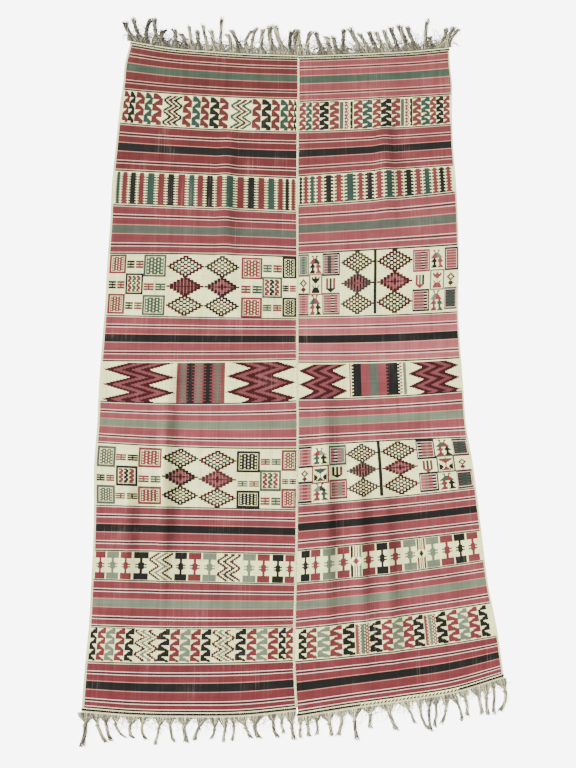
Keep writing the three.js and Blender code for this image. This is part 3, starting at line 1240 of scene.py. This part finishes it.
def lay_panel(side, material, thickness):
    """One woven panel, each face with its dye, darkened by painted shade on the crease flanks, and its place
    in the cloth in plan mm.
    """
    weave = Weave(side)
    weave.gather()
    upper = [(x, y, z + thickness) for x, y, z in weave.points]
    points, faces = closed_sheet(upper, weave.points, weave.faces)
    piece = new_object("cloth_" + side, points, faces, material)
    mesh = piece.data
    dye = mesh.color_attributes.new("dye", "FLOAT_COLOR", "CORNER")
    cloth = mesh.uv_layers.new(name="cloth")
    colours = [dyed(name, side, section) for name, section in weave.dyes] * 2
    colours += [LINEAR["C"]] * (len(faces) - len(colours))
    # Painted shade: each corner's dye is darkened on the flank of a crease turned from the light
    fold_shade_brightness = [brightness_under_fold_shade(side, x, y) for x, y in weave.flat]
    shade, plan = [], []
    for polygon, colour in zip(mesh.polygons, colours):
        for p in polygon.vertices:
            shade.extend(value * fold_shade_brightness[p % len(fold_shade_brightness)] for value in colour)
            plan.extend(weave.flat[p % len(fold_shade_brightness)])
    dye.data.foreach_set("color", shade)
    cloth.data.foreach_set("uv", plan)
    mesh.polygons.foreach_set("use_smooth", [True] * len(mesh.polygons))
    mesh.set_sharp_from_angle(angle=0.8)
    return piece


# ---------------------------------------------------------------- yarns

# Twined cords: strand radius, length of a turn, height of the middle, all in mm, and flatness
CORD_RADIUS, CORD_PITCH, CORD_HEIGHT, CORD_FLATNESS = 1.7, 13.0, 3.4, 0.9
# Where the lower right cord has a cream strand
PALE_CORD = (600, 250)


class Yarns:
    """Tubes of yarn gathered into one mesh, each face with its dye."""

    def __init__(self):
        self.points = []
        self.faces = []
        self.dyes = []

    def tube(self, path, radius, dye, sides=5, taper=1.0):
        """A tube along a path of points in plan mm, closed at both ends."""
        start = len(self.points)
        last = len(path) - 1
        for i, point in enumerate(path):
            way = (path[min(i + 1, last)] - path[max(i - 1, 0)]).normalized()
            side = way.cross(Vector((0, 0, 1)))
            side = side.normalized() if side.length > 1e-4 else Vector((1, 0, 0))
            up = side.cross(way)
            r = radius * (1 - (1 - taper) * i / last)
            for k in range(sides):
                angle = 2 * math.pi * (k + 0.5) / sides
                spot = point + (side * math.cos(angle) + up * math.sin(angle)) * r
                self.points.append(plan_point(spot.x, spot.y, max(spot.z, 0.02)))
        for i in range(last):
            for k in range(sides):
                a = start + i * sides + k
                b = start + i * sides + (k + 1) % sides
                self.faces.append((a, b, b + sides, a + sides))
                self.dyes.append(dye)
        end = start + last * sides
        self.faces.append(tuple(range(start, start + sides))[::-1])
        self.faces.append(tuple(range(end, end + sides)))
        self.dyes += [dye, dye]

    def strip(self, rows, under, crown, dye):
        """A closed strip over rows of points in plan mm, between a height under it and its crown's."""
        across = len(crown)
        upper = [plan_point(p.x, p.y, z) for row in rows for p, z in zip(row, crown)]
        lower = [plan_point(p.x, p.y, under) for row in rows for p in row]
        corners = [r * across + c for r in range(len(rows) - 1) for c in range(across - 1)]
        cells = [[a, a + 1, a + across + 1, a + across] for a in corners]
        points, faces = closed_sheet(upper, lower, cells)
        start = len(self.points)
        self.points += points
        self.faces += [tuple(start + p for p in face) for face in faces]
        self.dyes += [dye] * len(faces)

    def build(self, name, material):
        piece = new_object(name, self.points, self.faces, material)
        mesh = piece.data
        shade = [value for face, dye in zip(self.faces, self.dyes) for value in LINEAR[dye] * len(face)]
        mesh.color_attributes.new("dye", "FLOAT_COLOR", "CORNER").data.foreach_set("color", shade)
        mesh.polygons.foreach_set("use_smooth", [True] * len(mesh.polygons))
        return piece


def twisted(yarns, path, dyes):
    """A cord of one strand in each dye, all turning round a path."""
    travelled = [0.0]
    for a, b in zip(path, path[1:]):
        travelled.append(travelled[-1] + (b - a).length)
    last = len(path) - 1
    for k, dye in enumerate(dyes):
        line = []
        for i, point in enumerate(path):
            way = (path[min(i + 1, last)] - path[max(i - 1, 0)]).normalized()
            side = Vector((way.y, -way.x, 0)).normalized()
            angle = 2 * math.pi * (travelled[i] / CORD_PITCH + k / len(dyes))
            rise = Vector((0, 0, math.sin(angle) * CORD_RADIUS * CORD_FLATNESS))
            line.append(point + side * (math.cos(angle) * CORD_RADIUS) + rise)
        yarns.tube(line, CORD_RADIUS * 1.02, dye)


def end_line(side, end, distance, count):
    """A line beside the end of a panel, from its outer edge to the middle of the seam."""
    outward = 1 if end == "top" else -1
    line = []
    for i in range(count + 1):
        share = i / count
        y = end_height(side, end, share)
        outer, inner = panel_span(side, y)
        line.append(Vector((outer + share * (inner - outer), y + outward * distance, 0)))
    middle = between(EDGES, SEAM_LINE, line[-1].y)
    line.append(Vector((middle - 0.2 if side == "left" else middle + 0.2, line[-1].y, 0)))
    return line


def resampled(line, step):
    """The same line in even steps."""
    result = [line[0].copy()]
    left = step
    for a, b in zip(line, line[1:]):
        length = (b - a).length
        place = left
        while place <= length:
            result.append(a.lerp(b, place / length))
            place += step
        left = place - length
    if (result[-1] - line[-1]).length > step * 0.3:
        result.append(line[-1].copy())
    return result


def heading_height(side, end, x):
    """How far up the cloth the outer line of the heading lies at a place across it."""
    line = end_line(side, end, HEADING_START + HEADING_DEPTH[end], 24)
    if side == "right":
        line.reverse()
    for a, b in zip(line, line[1:]):
        if a.x <= x <= b.x:
            return a.y + (b.y - a.y) * (x - a.x) / (b.x - a.x)
    near = line[0] if x < line[0].x else line[-1]
    return near.y


# Locks of fringe: root across the cloth, sideways half way out and at the tip, reach, pitch, strands
LOCKS = {
    ("left", "top"): (
        (-674, -25, -41, 92, 10, 3), (-645, -18, -40, 118, 8, 2), (-622, 7, 20, 118, 10, 2),
        (-567, -13, -21, 137, 17, 2), (-528, -22, -9, 76, 10, 3), (-489, -1, -13, 89, 11, 2),
        (-446, -6, -26, 72, 13, 2), (-416, -9, -22, 118, 6, 1), (-391, -1, -7, 91, 10, 2),
        (-349, -12, -29, 130, 6, 1), (-318, -9, -18, 103, 11, 2), (-292, -1, 4, 171, 6, 1),
        (-250, 0, -18, 86, 10, 2), (-206, -20, -42, 112, 8, 2), (-183, 2, 24, 107, 6, 1),
        (-158, 4, 30, 127, 6, 1), (-118, 3, 6, 122, 10, 2), (-56, -22, -22, 142, 12, 3),
        (-16, -25, -46, 143, 11, 3), (8, 2, 12, 119, 8, 2), (32, -2, 0, 124, 10, 2),
    ),
    ("right", "top"): (
        (60, -12, -15, 122, 8, 2), (84, 1, 20, 112, 8, 2), (151, -20, -33, 112, 11, 2),
        (187, -12, -20, 83, 8, 2), (212, -9, -16, 83, 8, 2), (238, 1, 12, 121, 10, 2),
        (320, -30, -53, 124, 10, 3), (355, -25, -46, 95, 8, 2), (386, -19, -36, 100, 8, 2),
        (412, -14, -32, 98, 7, 2), (448, -20, -33, 106, 10, 2), (474, -12, -30, 118, 8, 2),
        (520, -18, -37, 126, 9, 3), (556, -23, -36, 117, 10, 2), (599, 2, 15, 150, 6, 1),
        (630, -12, -12, 52, 10, 2), (651, 30, 43, 92, 7, 2), (672, 29, 51, 98, 7, 2),
        (690, 24, 60, 82, 7, 2),
    ),
    ("left", "bottom"): (
        (-700, 1, -2, 102, 10, 3), (-666, 16, 38, 87, 7, 2), (-633, 10, 30, 79, 7, 2),
        (-597, 7, 41, 66, 6, 1), (-536, -9, 3, 64, 10, 2), (-500, -2, 10, 68, 6, 1),
        (-440, -8, -14, 84, 6, 1), (-409, 6, 25, 75, 6, 1), (-359, 2, 11, 75, 9, 3),
        (-297, -14, -24, 68, 10, 2), (-255, 1, -10, 64, 6, 1), (-224, 6, 2, 74, 6, 1),
        (-190, 3, -2, 70, 6, 1), (-162, 18, 36, 62, 10, 2), (-110, -4, 8, 66, 10, 3),
        (-54, 5, 16, 70, 8, 2), (-23, 2, 5, 60, 6, 1), (8, 5, 14, 84, 8, 2),
    ),
    ("right", "bottom"): (
        (44, -2, -3, 60, 6, 1), (66, 2, 10, 60, 7, 2), (98, 2, 2, 61, 6, 1),
        (136, 8, 16, 69, 11, 2), (180, 4, -8, 75, 10, 2), (231, -1, 8, 96, 10, 2),
        (282, 2, 1, 64, 10, 2), (343, 14, 26, 78, 8, 3), (405, 19, 36, 65, 6, 1),
        (456, 6, 24, 93, 6, 1), (490, -2, 2, 102, 6, 1), (512, 0, -5, 93, 6, 1),
        (549, -4, -22, 88, 6, 1), (572, 22, 26, 83, 6, 1), (613, 6, 10, 79, 7, 2),
        (657, 9, 12, 85, 7, 2), (689, 0, 0, 98, 8, 2), (715, 2, -7, 101, 6, 1),
        (744, 12, -14, 102, 7, 2),
    ),
}
# Of a wisp at each end: reach, radius, gap to the next, and how often it is cream, grey, dark or pale
WISPS = {
    "top": ((25, 110), (1.0, 1.7), (1.2, 2.6), (1, 4, 4, 0)),
    "bottom": ((10, 60), (0.7, 1.2), (1.6, 3.6), (4, 4, 2, 2)),
}
# Thickness of a lock: at least, and more for each strand
LOCK_SIZE = {"top": (5.4, 1.7), "bottom": (3.2, 1.1)}
YARN_DYES = "YyzS"
TURN = 6.28


def eased(t):
    t = min(max(t, 0.0), 1.0)
    return t * t * (3 - 2 * t)


def lock_tones(rng, end, root):
    """How often a lock's yarns have each of the yarn dyes."""
    if end == "bottom":
        return (3, 5, 2, 1)
    return (1, 5, 6, 0) if root < -420 else rng.choice(((2, 5, 5, 0), (3, 6, 3, 1), (4, 4, 2, 1)))


def tie_lock(yarns, rng, side, end, lock):
    """A lock of fringe: yarns from a spread of warps that gather into one bundle, some knotted."""
    root, bend, lean, reach, pitch, strands = lock
    outward = 1 if end == "top" else -1
    count = 12 + 6 * strands
    spread = pitch * strands + rng.uniform(12, 26)
    knot = rng.uniform(0.25, 0.5)
    thick = LOCK_SIZE[end][0] + LOCK_SIZE[end][1] * strands
    turn = rng.uniform(0, TURN)
    twist = rng.choice((-1, 1)) * rng.uniform(0.6, 1.8)
    curl, sway = rng.uniform(-5, 5), rng.uniform(0.7, 1.5)
    base = heading_height(side, end, root)
    depth = HEADING_DEPTH[end] * 0.45
    tones = lock_tones(rng, end, root)

    def centre(t):
        across = (4 * bend - lean) * t + (2 * lean - 4 * bend) * t * t
        return root + across + curl * t * t * math.sin(turn + TURN * sway * t)

    for k in range(count):
        x0 = root + (k / (count - 1) - 0.5) * spread
        y0 = heading_height(side, end, x0)
        path = [Vector((x0, y0 - outward * depth, 1.9))]
        spin = turn + 2.4 * k
        ring = thick * math.sqrt((k + 0.5) / count)
        length = rng.uniform(0.84, 1.0)
        for share in steps(1, 14):
            t = share * length
            gather = eased(t / knot)
            angle = spin + twist * TURN * t
            loose = ring * (1 + 0.9 * eased((t - 0.7) / 0.3))
            x = (x0 + centre(t) - root) * (1 - gather) + (centre(t) + loose * math.cos(angle)) * gather
            y = y0 * (1 - gather) + base * gather + outward * reach * t
            z = 1.6 + gather * 0.5 * (thick + ring * math.sin(angle))
            path.append(Vector((x + rng.uniform(-0.5, 0.5), y, z)))
        dye = rng.choices(YARN_DYES, tones)[0]
        yarns.tube(path, rng.uniform(1.3, 2.0), dye, 5, 0.7)
    if rng.random() < 0.6:
        coil = []
        size = thick + 1.5
        for i in range(19):
            angle = TURN * i / 9
            y = base + outward * reach * (knot + 0.02) + outward * i * 0.2
            up = 1.6 + 0.5 * (thick + size * math.sin(angle))
            coil.append(Vector((centre(knot) + size * math.cos(angle), y, up)))
        yarns.tube(coil, 1.4, "y", 5)


def wisp_path(rng, root, outward, depth, length):
    """A loose yarn that starts in the heading and bows to one side."""
    path = [Vector((root.x, root.y - outward * depth * 0.4, 1.8))]
    turn = math.pi / 2 * outward + rng.uniform(-0.4, 0.4)
    spot = Vector((root.x, root.y - outward * 2, 1.9))
    bow = rng.uniform(-0.3, 0.3)
    for i in range(9):
        path.append(spot.copy())
        turn += bow * 1.4 + rng.uniform(-0.3, 0.3)
        spot = spot + Vector((math.cos(turn), math.sin(turn), 0)) * (length / 8)
        spot.y = outward * max(outward * spot.y, outward * root.y - 1)
        spot.z = 1.4 + 2.5 * eased(i / 4) * rng.uniform(0.6, 1)
    return path


def fringe_end(side, end):
    """The heading with its warp yarns: gathered locks, and shorter wisps between them."""
    yarns = Yarns()
    rng = random.Random(side + end)
    outward = 1 if end == "top" else -1
    depth = HEADING_DEPTH[end]
    rows = [end_line(side, end, HEADING_START + out, 60) for out in steps(depth, 6)]
    if (side == "left") != (end == "top"):
        rows.reverse()
    yarns.strip(rows, 0.0, [1.6] * len(rows[0]), "S")
    for lock in LOCKS[side, end]:
        tie_lock(yarns, rng, side, end, lock)
    line = end_line(side, end, 0, 24)
    x, stop = sorted((line[0].x, line[-1].x))
    x += 3
    reach, radius, gap, tones = WISPS[end]
    while x < stop - 2:
        root = Vector((x, heading_height(side, end, x), 0))
        path = wisp_path(rng, root, outward, depth, rng.uniform(*reach))
        size = rng.uniform(*radius)
        yarns.tube(path, size, rng.choices(YARN_DYES, tones)[0], 4, 0.6)
        x += rng.uniform(*gap)
    return yarns


def twined_end(side, end):
    """Two dark strands that turn round one another through the warps."""
    yarns = Yarns()
    line = resampled(end_line(side, end, TWINING_LINE, 48), 0.95)
    path = [Vector((p.x, p.y, CORD_HEIGHT)) for p in line]
    if (side, end) == ("right", "bottom"):
        first, last = (next(i for i, p in enumerate(path) if p.x < x) for x in PALE_CORD)
        twisted(yarns, path[: first + 1], "KN")
        twisted(yarns, path[first : last + 1], "KC")
        twisted(yarns, path[last:], "KN")
    else:
        twisted(yarns, path, "KN")
    return yarns


def seam_stitches():
    """A padded ridge where the selvedges meet, overcast with cream yarn."""
    yarns = Yarns()
    rng = random.Random("seam")
    bottom, top, count = -23.0, 2554.0, 130
    ridge_across, crown = (-3.9, -2.4, 0, 2.4, 3.9), (0.7, 1.7, 2.1, 1.7, 0.7)
    rows = []
    for i in range(count + 1):
        y = bottom + (top - bottom) * i / count
        middle = between(EDGES, SEAM_LINE, y)
        rows.append([Vector((middle + dx, y, 0)) for dx in ridge_across])
    yarns.strip(rows, 0.05, crown, "S")
    step, pitch, reach, radius = 0.62, 6.4, 2.9, 0.62
    path = []
    y, phase = bottom + 2, 0.0
    while y < top - 2:
        x = between(EDGES, SEAM_LINE, y)
        path.append(Vector((x + reach * math.cos(phase), y, 1.35 + 0.75 * math.sin(phase))))
        y += step
        phase += 2 * math.pi * step / pitch * rng.uniform(0.85, 1.15)
    yarns.tube(path, radius, "Y", 4)
    return yarns


# ---------------------------------------------------------------- materials


class Wire:
    """A node output that can be used in sums."""

    def __init__(self, tree, socket):
        self.tree = tree
        self.socket = socket

    def math(self, operation, *values, clamp=False):
        node = self.tree.nodes.new("ShaderNodeMath")
        node.operation = operation
        node.use_clamp = clamp
        for place, value in zip(node.inputs, values):
            join(self.tree, value, place)
        return Wire(self.tree, node.outputs[0])

    def __add__(self, other):
        return self.math("ADD", self, other)

    def __radd__(self, other):
        return self.math("ADD", other, self)

    def __sub__(self, other):
        return self.math("SUBTRACT", self, other)

    def __rsub__(self, other):
        return self.math("SUBTRACT", other, self)

    def __mul__(self, other):
        return self.math("MULTIPLY", self, other)

    def __rmul__(self, other):
        return self.math("MULTIPLY", other, self)

    def __truediv__(self, other):
        return self.math("DIVIDE", self, other)

    def __rtruediv__(self, other):
        return self.math("DIVIDE", other, self)

    def __mod__(self, other):
        return self.math("FLOORED_MODULO", self, other)

    def floor(self):
        return self.math("FLOOR", self)

    def absolute(self):
        return self.math("ABSOLUTE", self)

    def sine(self):
        return self.math("SINE", self)

    def part(self, number):
        """Another output of the same node."""
        return Wire(self.tree, self.socket.node.outputs[number])

    def clamped(self):
        return self.math("ADD", self, 0.0, clamp=True)


def join(tree, value, place):
    if isinstance(value, Wire):
        tree.links.new(value.socket, place)
    else:
        place.default_value = value


class Material:
    """A material whose nodes are made one call each."""

    def __init__(self, name):
        self.data = bpy.data.materials.new(name)
        self.data.use_nodes = True
        self.tree = self.data.node_tree
        self.shader = self.tree.nodes["Principled BSDF"]

    def node(self, kind, settings, inputs, output=0):
        """A node by its type, settings first, then its inputs by name or number."""
        node = self.tree.nodes.new(kind)
        for name, value in settings.items():
            setattr(node, name, value)
        for name, value in inputs.items():
            join(self.tree, value, node.inputs[name])
        return Wire(self.tree, node.outputs[output])

    def noise(self, vector, scale, detail=3.0, roughness=0.5):
        return self.node(
            "ShaderNodeTexNoise", {}, {"Vector": vector, "Scale": scale, "Detail": detail,
                                       "Roughness": roughness},
        )

    def stretched(self, vector, factors):
        return self.node("ShaderNodeVectorMath", {"operation": "MULTIPLY"}, {0: vector, 1: factors})

    def mixed(self, factor, a, b, blend_type="MIX"):
        """Two colours mixed. Inputs 6 and 7 of the node are its colours, output 2 its result."""
        return self.node(
            "ShaderNodeMix",
            {"data_type": "RGBA", "blend_type": blend_type, "clamp_factor": True},
            {0: factor, 6: a, 7: b},
            output=2,
        )

    def dimmed(self, colour, shade):
        """A colour times a brightness."""
        grey = self.node("ShaderNodeCombineColor", {}, {0: shade, 1: shade, 2: shade})
        return self.mixed(1.0, colour, grey, "MULTIPLY")

    def set(self, **inputs):
        """Values or links for the shader's sockets, by name with _ for a space."""
        for name, value in inputs.items():
            join(self.tree, value, self.shader.inputs[name.replace("_", " ")])


# Worn wool, and the weave's ribs and warps in mm
WORN_COLOUR = (0.50, 0.33, 0.27, 1)
RIB_PITCH, WARP_PITCH = 1.9, 2.6


def woven_wool():
    """Weft-faced wool: small level ribs, uneven dye lots across, lighter and darker warps, painted shade
    along the pleats, and the painted crease shade that the dye attribute brings.
    """
    m = Material("woven wool")
    dye = m.node("ShaderNodeVertexColor", {"layer_name": "dye"}, {})
    plan = m.node("ShaderNodeUVMap", {"uv_map": "cloth"}, {})
    x = m.node("ShaderNodeSeparateXYZ", {}, {0: plan})
    y = x.part(1)

    streaks = m.noise(m.stretched(plan, (0.20, 0.0018, 1)), 1.0, 4.0, 0.7)
    lots = m.noise(m.stretched(plan, (0.004, 0.16, 1)), 1.0, 4.0, 0.65)
    clouds = m.noise(m.stretched(plan, (0.007, 0.006, 1)), 1.0, 3.0, 0.6)
    fuzz = m.noise(m.stretched(plan, (0.9, 0.9, 1)), 1.0, 2.0, 0.6)
    rumple = m.noise(m.stretched(plan, (0.012, 0.007, 1)), 1.0, 2.0, 0.5)
    pleats = m.noise(m.stretched(plan, (0.035, 0.004, 1)), 1.0, 2.0, 0.5)
    # Painted shade: the pleats term darkens the colour in the hollows of the pleat bumps and lightens it on
    # their crests; the other noises are the wool's streaks, dye lots, mottling and fuzz
    shade = 1
    for uneven, strength in ((streaks, 0.65), (lots, 0.6), (clouds, 0.6), (fuzz, 0.35), (pleats, 0.4)):
        shade = shade + (uneven - 0.5) * strength
    worn = ((clouds * 0.5 + streaks * 0.7 + fuzz * 0.25 - 0.80) * 5).clamped() * 0.3
    colour = m.mixed(worn, m.dimmed(dye, shade), WORN_COLOUR)

    row = (y / RIB_PITCH).floor()
    rib = ((y / RIB_PITCH) * math.pi).sine().absolute()
    bead = ((x / WARP_PITCH + (row % 2) * 0.5) * math.pi).sine().absolute()
    height = rib * 0.25 + bead * 0.2 + fuzz * 0.2 + rumple * 8.0 + pleats * 2.4
    bump = m.node("ShaderNodeBump", {}, {"Strength": 1.0, "Distance": 0.001, "Height": height})
    m.set(Base_Color=colour, Roughness=0.93, Normal=bump)
    m.shader.inputs["Specular IOR Level"].default_value = 0.2
    return m.data


def spun_yarn():
    """Hand-spun wool: soft, uneven, a little grey."""
    m = Material("spun yarn")
    dye = m.node("ShaderNodeVertexColor", {"layer_name": "dye"}, {})
    place = m.node("ShaderNodeTexCoord", {}, {}, output=3)
    uneven = m.noise(place, 90.0, 3.0, 0.6)
    colour = m.dimmed(dye, 0.72 + uneven * 0.56)
    bump = m.node(
        "ShaderNodeBump", {}, {"Strength": 0.5, "Distance": 0.0004, "Height": m.noise(place, 1400.0, 2.0)}
    )
    m.set(Base_Color=colour, Roughness=0.95, Normal=bump)
    m.shader.inputs["Specular IOR Level"].default_value = 0.15
    return m.data


def floor_finish():
    """Plain matte white that glows enough to show no grey under the soft light."""
    m = Material("floor")
    m.set(Base_Color=(1, 1, 1, 1), Roughness=0.85, Emission_Color=(1, 1, 1, 1), Emission_Strength=5.0)
    return m.data


# ---------------------------------------------------------------- operators


def material_of(name, make):
    """The textile's material of this name, made the first time it is asked for."""
    return bpy.data.materials.get(name) or make()


def stand_in(piece, node):
    """Let a piece take the place of a plain solid."""
    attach(piece, "root")
    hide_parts(node)


class TextileSettings(bpy.types.PropertyGroup):
    fringes: bpy.props.BoolProperty(
        name="Fringes", description="Tie the warp fringes to both ends", default=True
    )
    thickness: bpy.props.FloatProperty(
        name="Thickness", description="Thickness of the woven cloth", default=CLOTH_THICKNESS * MM,
        unit="LENGTH", subtype="DISTANCE", precision=4,
    )
    red: bpy.props.FloatVectorProperty(
        name="Red", description="Dye of the stripes at the top end", default=LINEAR["R"][:3],
        subtype="COLOR",
    )
    cream: bpy.props.FloatVectorProperty(
        name="Cream", description="Undyed wool of the bands' ground", default=LINEAR["C"][:3],
        subtype="COLOR",
    )


class TEXTILE_OT_panels(bpy.types.Operator):
    """Lay the two woven panels"""

    bl_idname = "textile.panels"
    bl_label = "Lay panels"

    def execute(self, context):
        settings = context.scene.textile
        LINEAR.update(R=(*settings.red, 1.0), C=(*settings.cream, 1.0))
        for side in ("left", "right"):
            piece = lay_panel(side, material_of("woven wool", woven_wool), settings.thickness)
            stand_in(piece, "panel_" + side)
        return {"FINISHED"}


class TEXTILE_OT_seam(bpy.types.Operator):
    """Sew the seam between the panels"""

    bl_idname = "textile.seam"
    bl_label = "Sew seam"

    def execute(self, context):
        piece = seam_stitches().build("sewn_seam", material_of("spun yarn", spun_yarn))
        stand_in(piece, "seam")
        return {"FINISHED"}


class TEXTILE_OT_ends(bpy.types.Operator):
    """Twine the ends and tie the fringes"""

    bl_idname = "textile.ends"
    bl_label = "Finish ends"

    def execute(self, context):
        material = material_of("spun yarn", spun_yarn)
        for side in ("left", "right"):
            for end in ("top", "bottom"):
                place = end + "_" + side
                cord = twined_end(side, end).build("twined_" + place, material)
                stand_in(cord, "twining_" + place)
                if context.scene.textile.fringes:
                    fringe = fringe_end(side, end).build("warp_fringe_" + place, material)
                    stand_in(fringe, "fringe_" + place)
        return {"FINISHED"}


class TEXTILE_OT_cloth(bpy.types.Operator):
    """List for each panel what is sewn, twined and tied to it"""

    bl_idname = "textile.cloth"
    bl_label = "Declare cloth"

    def execute(self, context):
        objects = bpy.data.objects
        for side in ("left", "right"):
            trims = [objects["twined_top_" + side], objects["twined_bottom_" + side]]
            trims += [o for o in objects if o.name.startswith("warp_fringe_") and o.name.endswith(side)]
            if side == "left":
                trims.append(objects["sewn_seam"])
        return {"FINISHED"}


class TEXTILE_OT_stage(bpy.types.Operator):
    """Set the floor, the lights and the camera"""

    bl_idname = "textile.stage"
    bl_label = "Set stage"

    def execute(self, context):
        scene = context.scene
        far = 40
        corners = [(-far, -far, 0), (far, -far, 0), (far, far, 0), (-far, far, 0)]
        floor = new_object("floor", corners, [(0, 1, 2, 3)], floor_finish())
        world = bpy.data.worlds.new("studio")
        scene.world = world
        world.use_nodes = True
        backdrop = world.node_tree.nodes["Background"]
        backdrop.inputs["Color"].default_value = (1, 1, 1, 1)
        backdrop.inputs["Strength"].default_value = 0.85
        lamp = bpy.data.lights.new("softbox", "SUN")
        lamp.energy = 8.0
        lamp.angle = 0.4
        light = bpy.data.objects.new("softbox", lamp)
        light.rotation_euler = (-0.55, -0.75, 0)
        scene.collection.objects.link(light)
        data = bpy.data.cameras.new("camera")
        data.lens = 27.05
        data.sensor_width = 36
        camera = bpy.data.objects.new("camera", data)
        camera.location = (-0.0163, -0.6142, 2.1816)
        camera.rotation_euler = (0.19274, 0, 0)
        scene.collection.objects.link(camera)
        scene.camera = camera
        return {"FINISHED"}


class TEXTILE_PT_panel(bpy.types.Panel):
    """The textile's steps"""

    bl_idname = "TEXTILE_PT_panel"
    bl_label = "Ceremonial textile"
    bl_space_type = "VIEW_3D"
    bl_region_type = "UI"
    bl_category = "Textile"

    def draw(self, context):
        layout = self.layout
        for name in ("fringes", "thickness", "red", "cream"):
            layout.prop(context.scene.textile, name)
        for item in CLASSES:
            if issubclass(item, bpy.types.Operator):
                layout.operator(item.bl_idname)


CLASSES = (
    TextileSettings,
    TEXTILE_OT_panels,
    TEXTILE_OT_seam,
    TEXTILE_OT_ends,
    TEXTILE_OT_stage,
    TEXTILE_OT_cloth,
    TEXTILE_PT_panel,
)


def register():
    for item in CLASSES:
        bpy.utils.register_class(item)
    bpy.types.Scene.textile = bpy.props.PointerProperty(type=TextileSettings)


def unregister():
    del bpy.types.Scene.textile
    for item in reversed(CLASSES):
        bpy.utils.unregister_class(item)


def main():
    register()
    bpy.ops.textile.panels()
    bpy.ops.textile.seam()
    bpy.ops.textile.ends()
    bpy.ops.textile.stage()
    bpy.ops.textile.cloth()


if __name__ == "__main__":
    main()
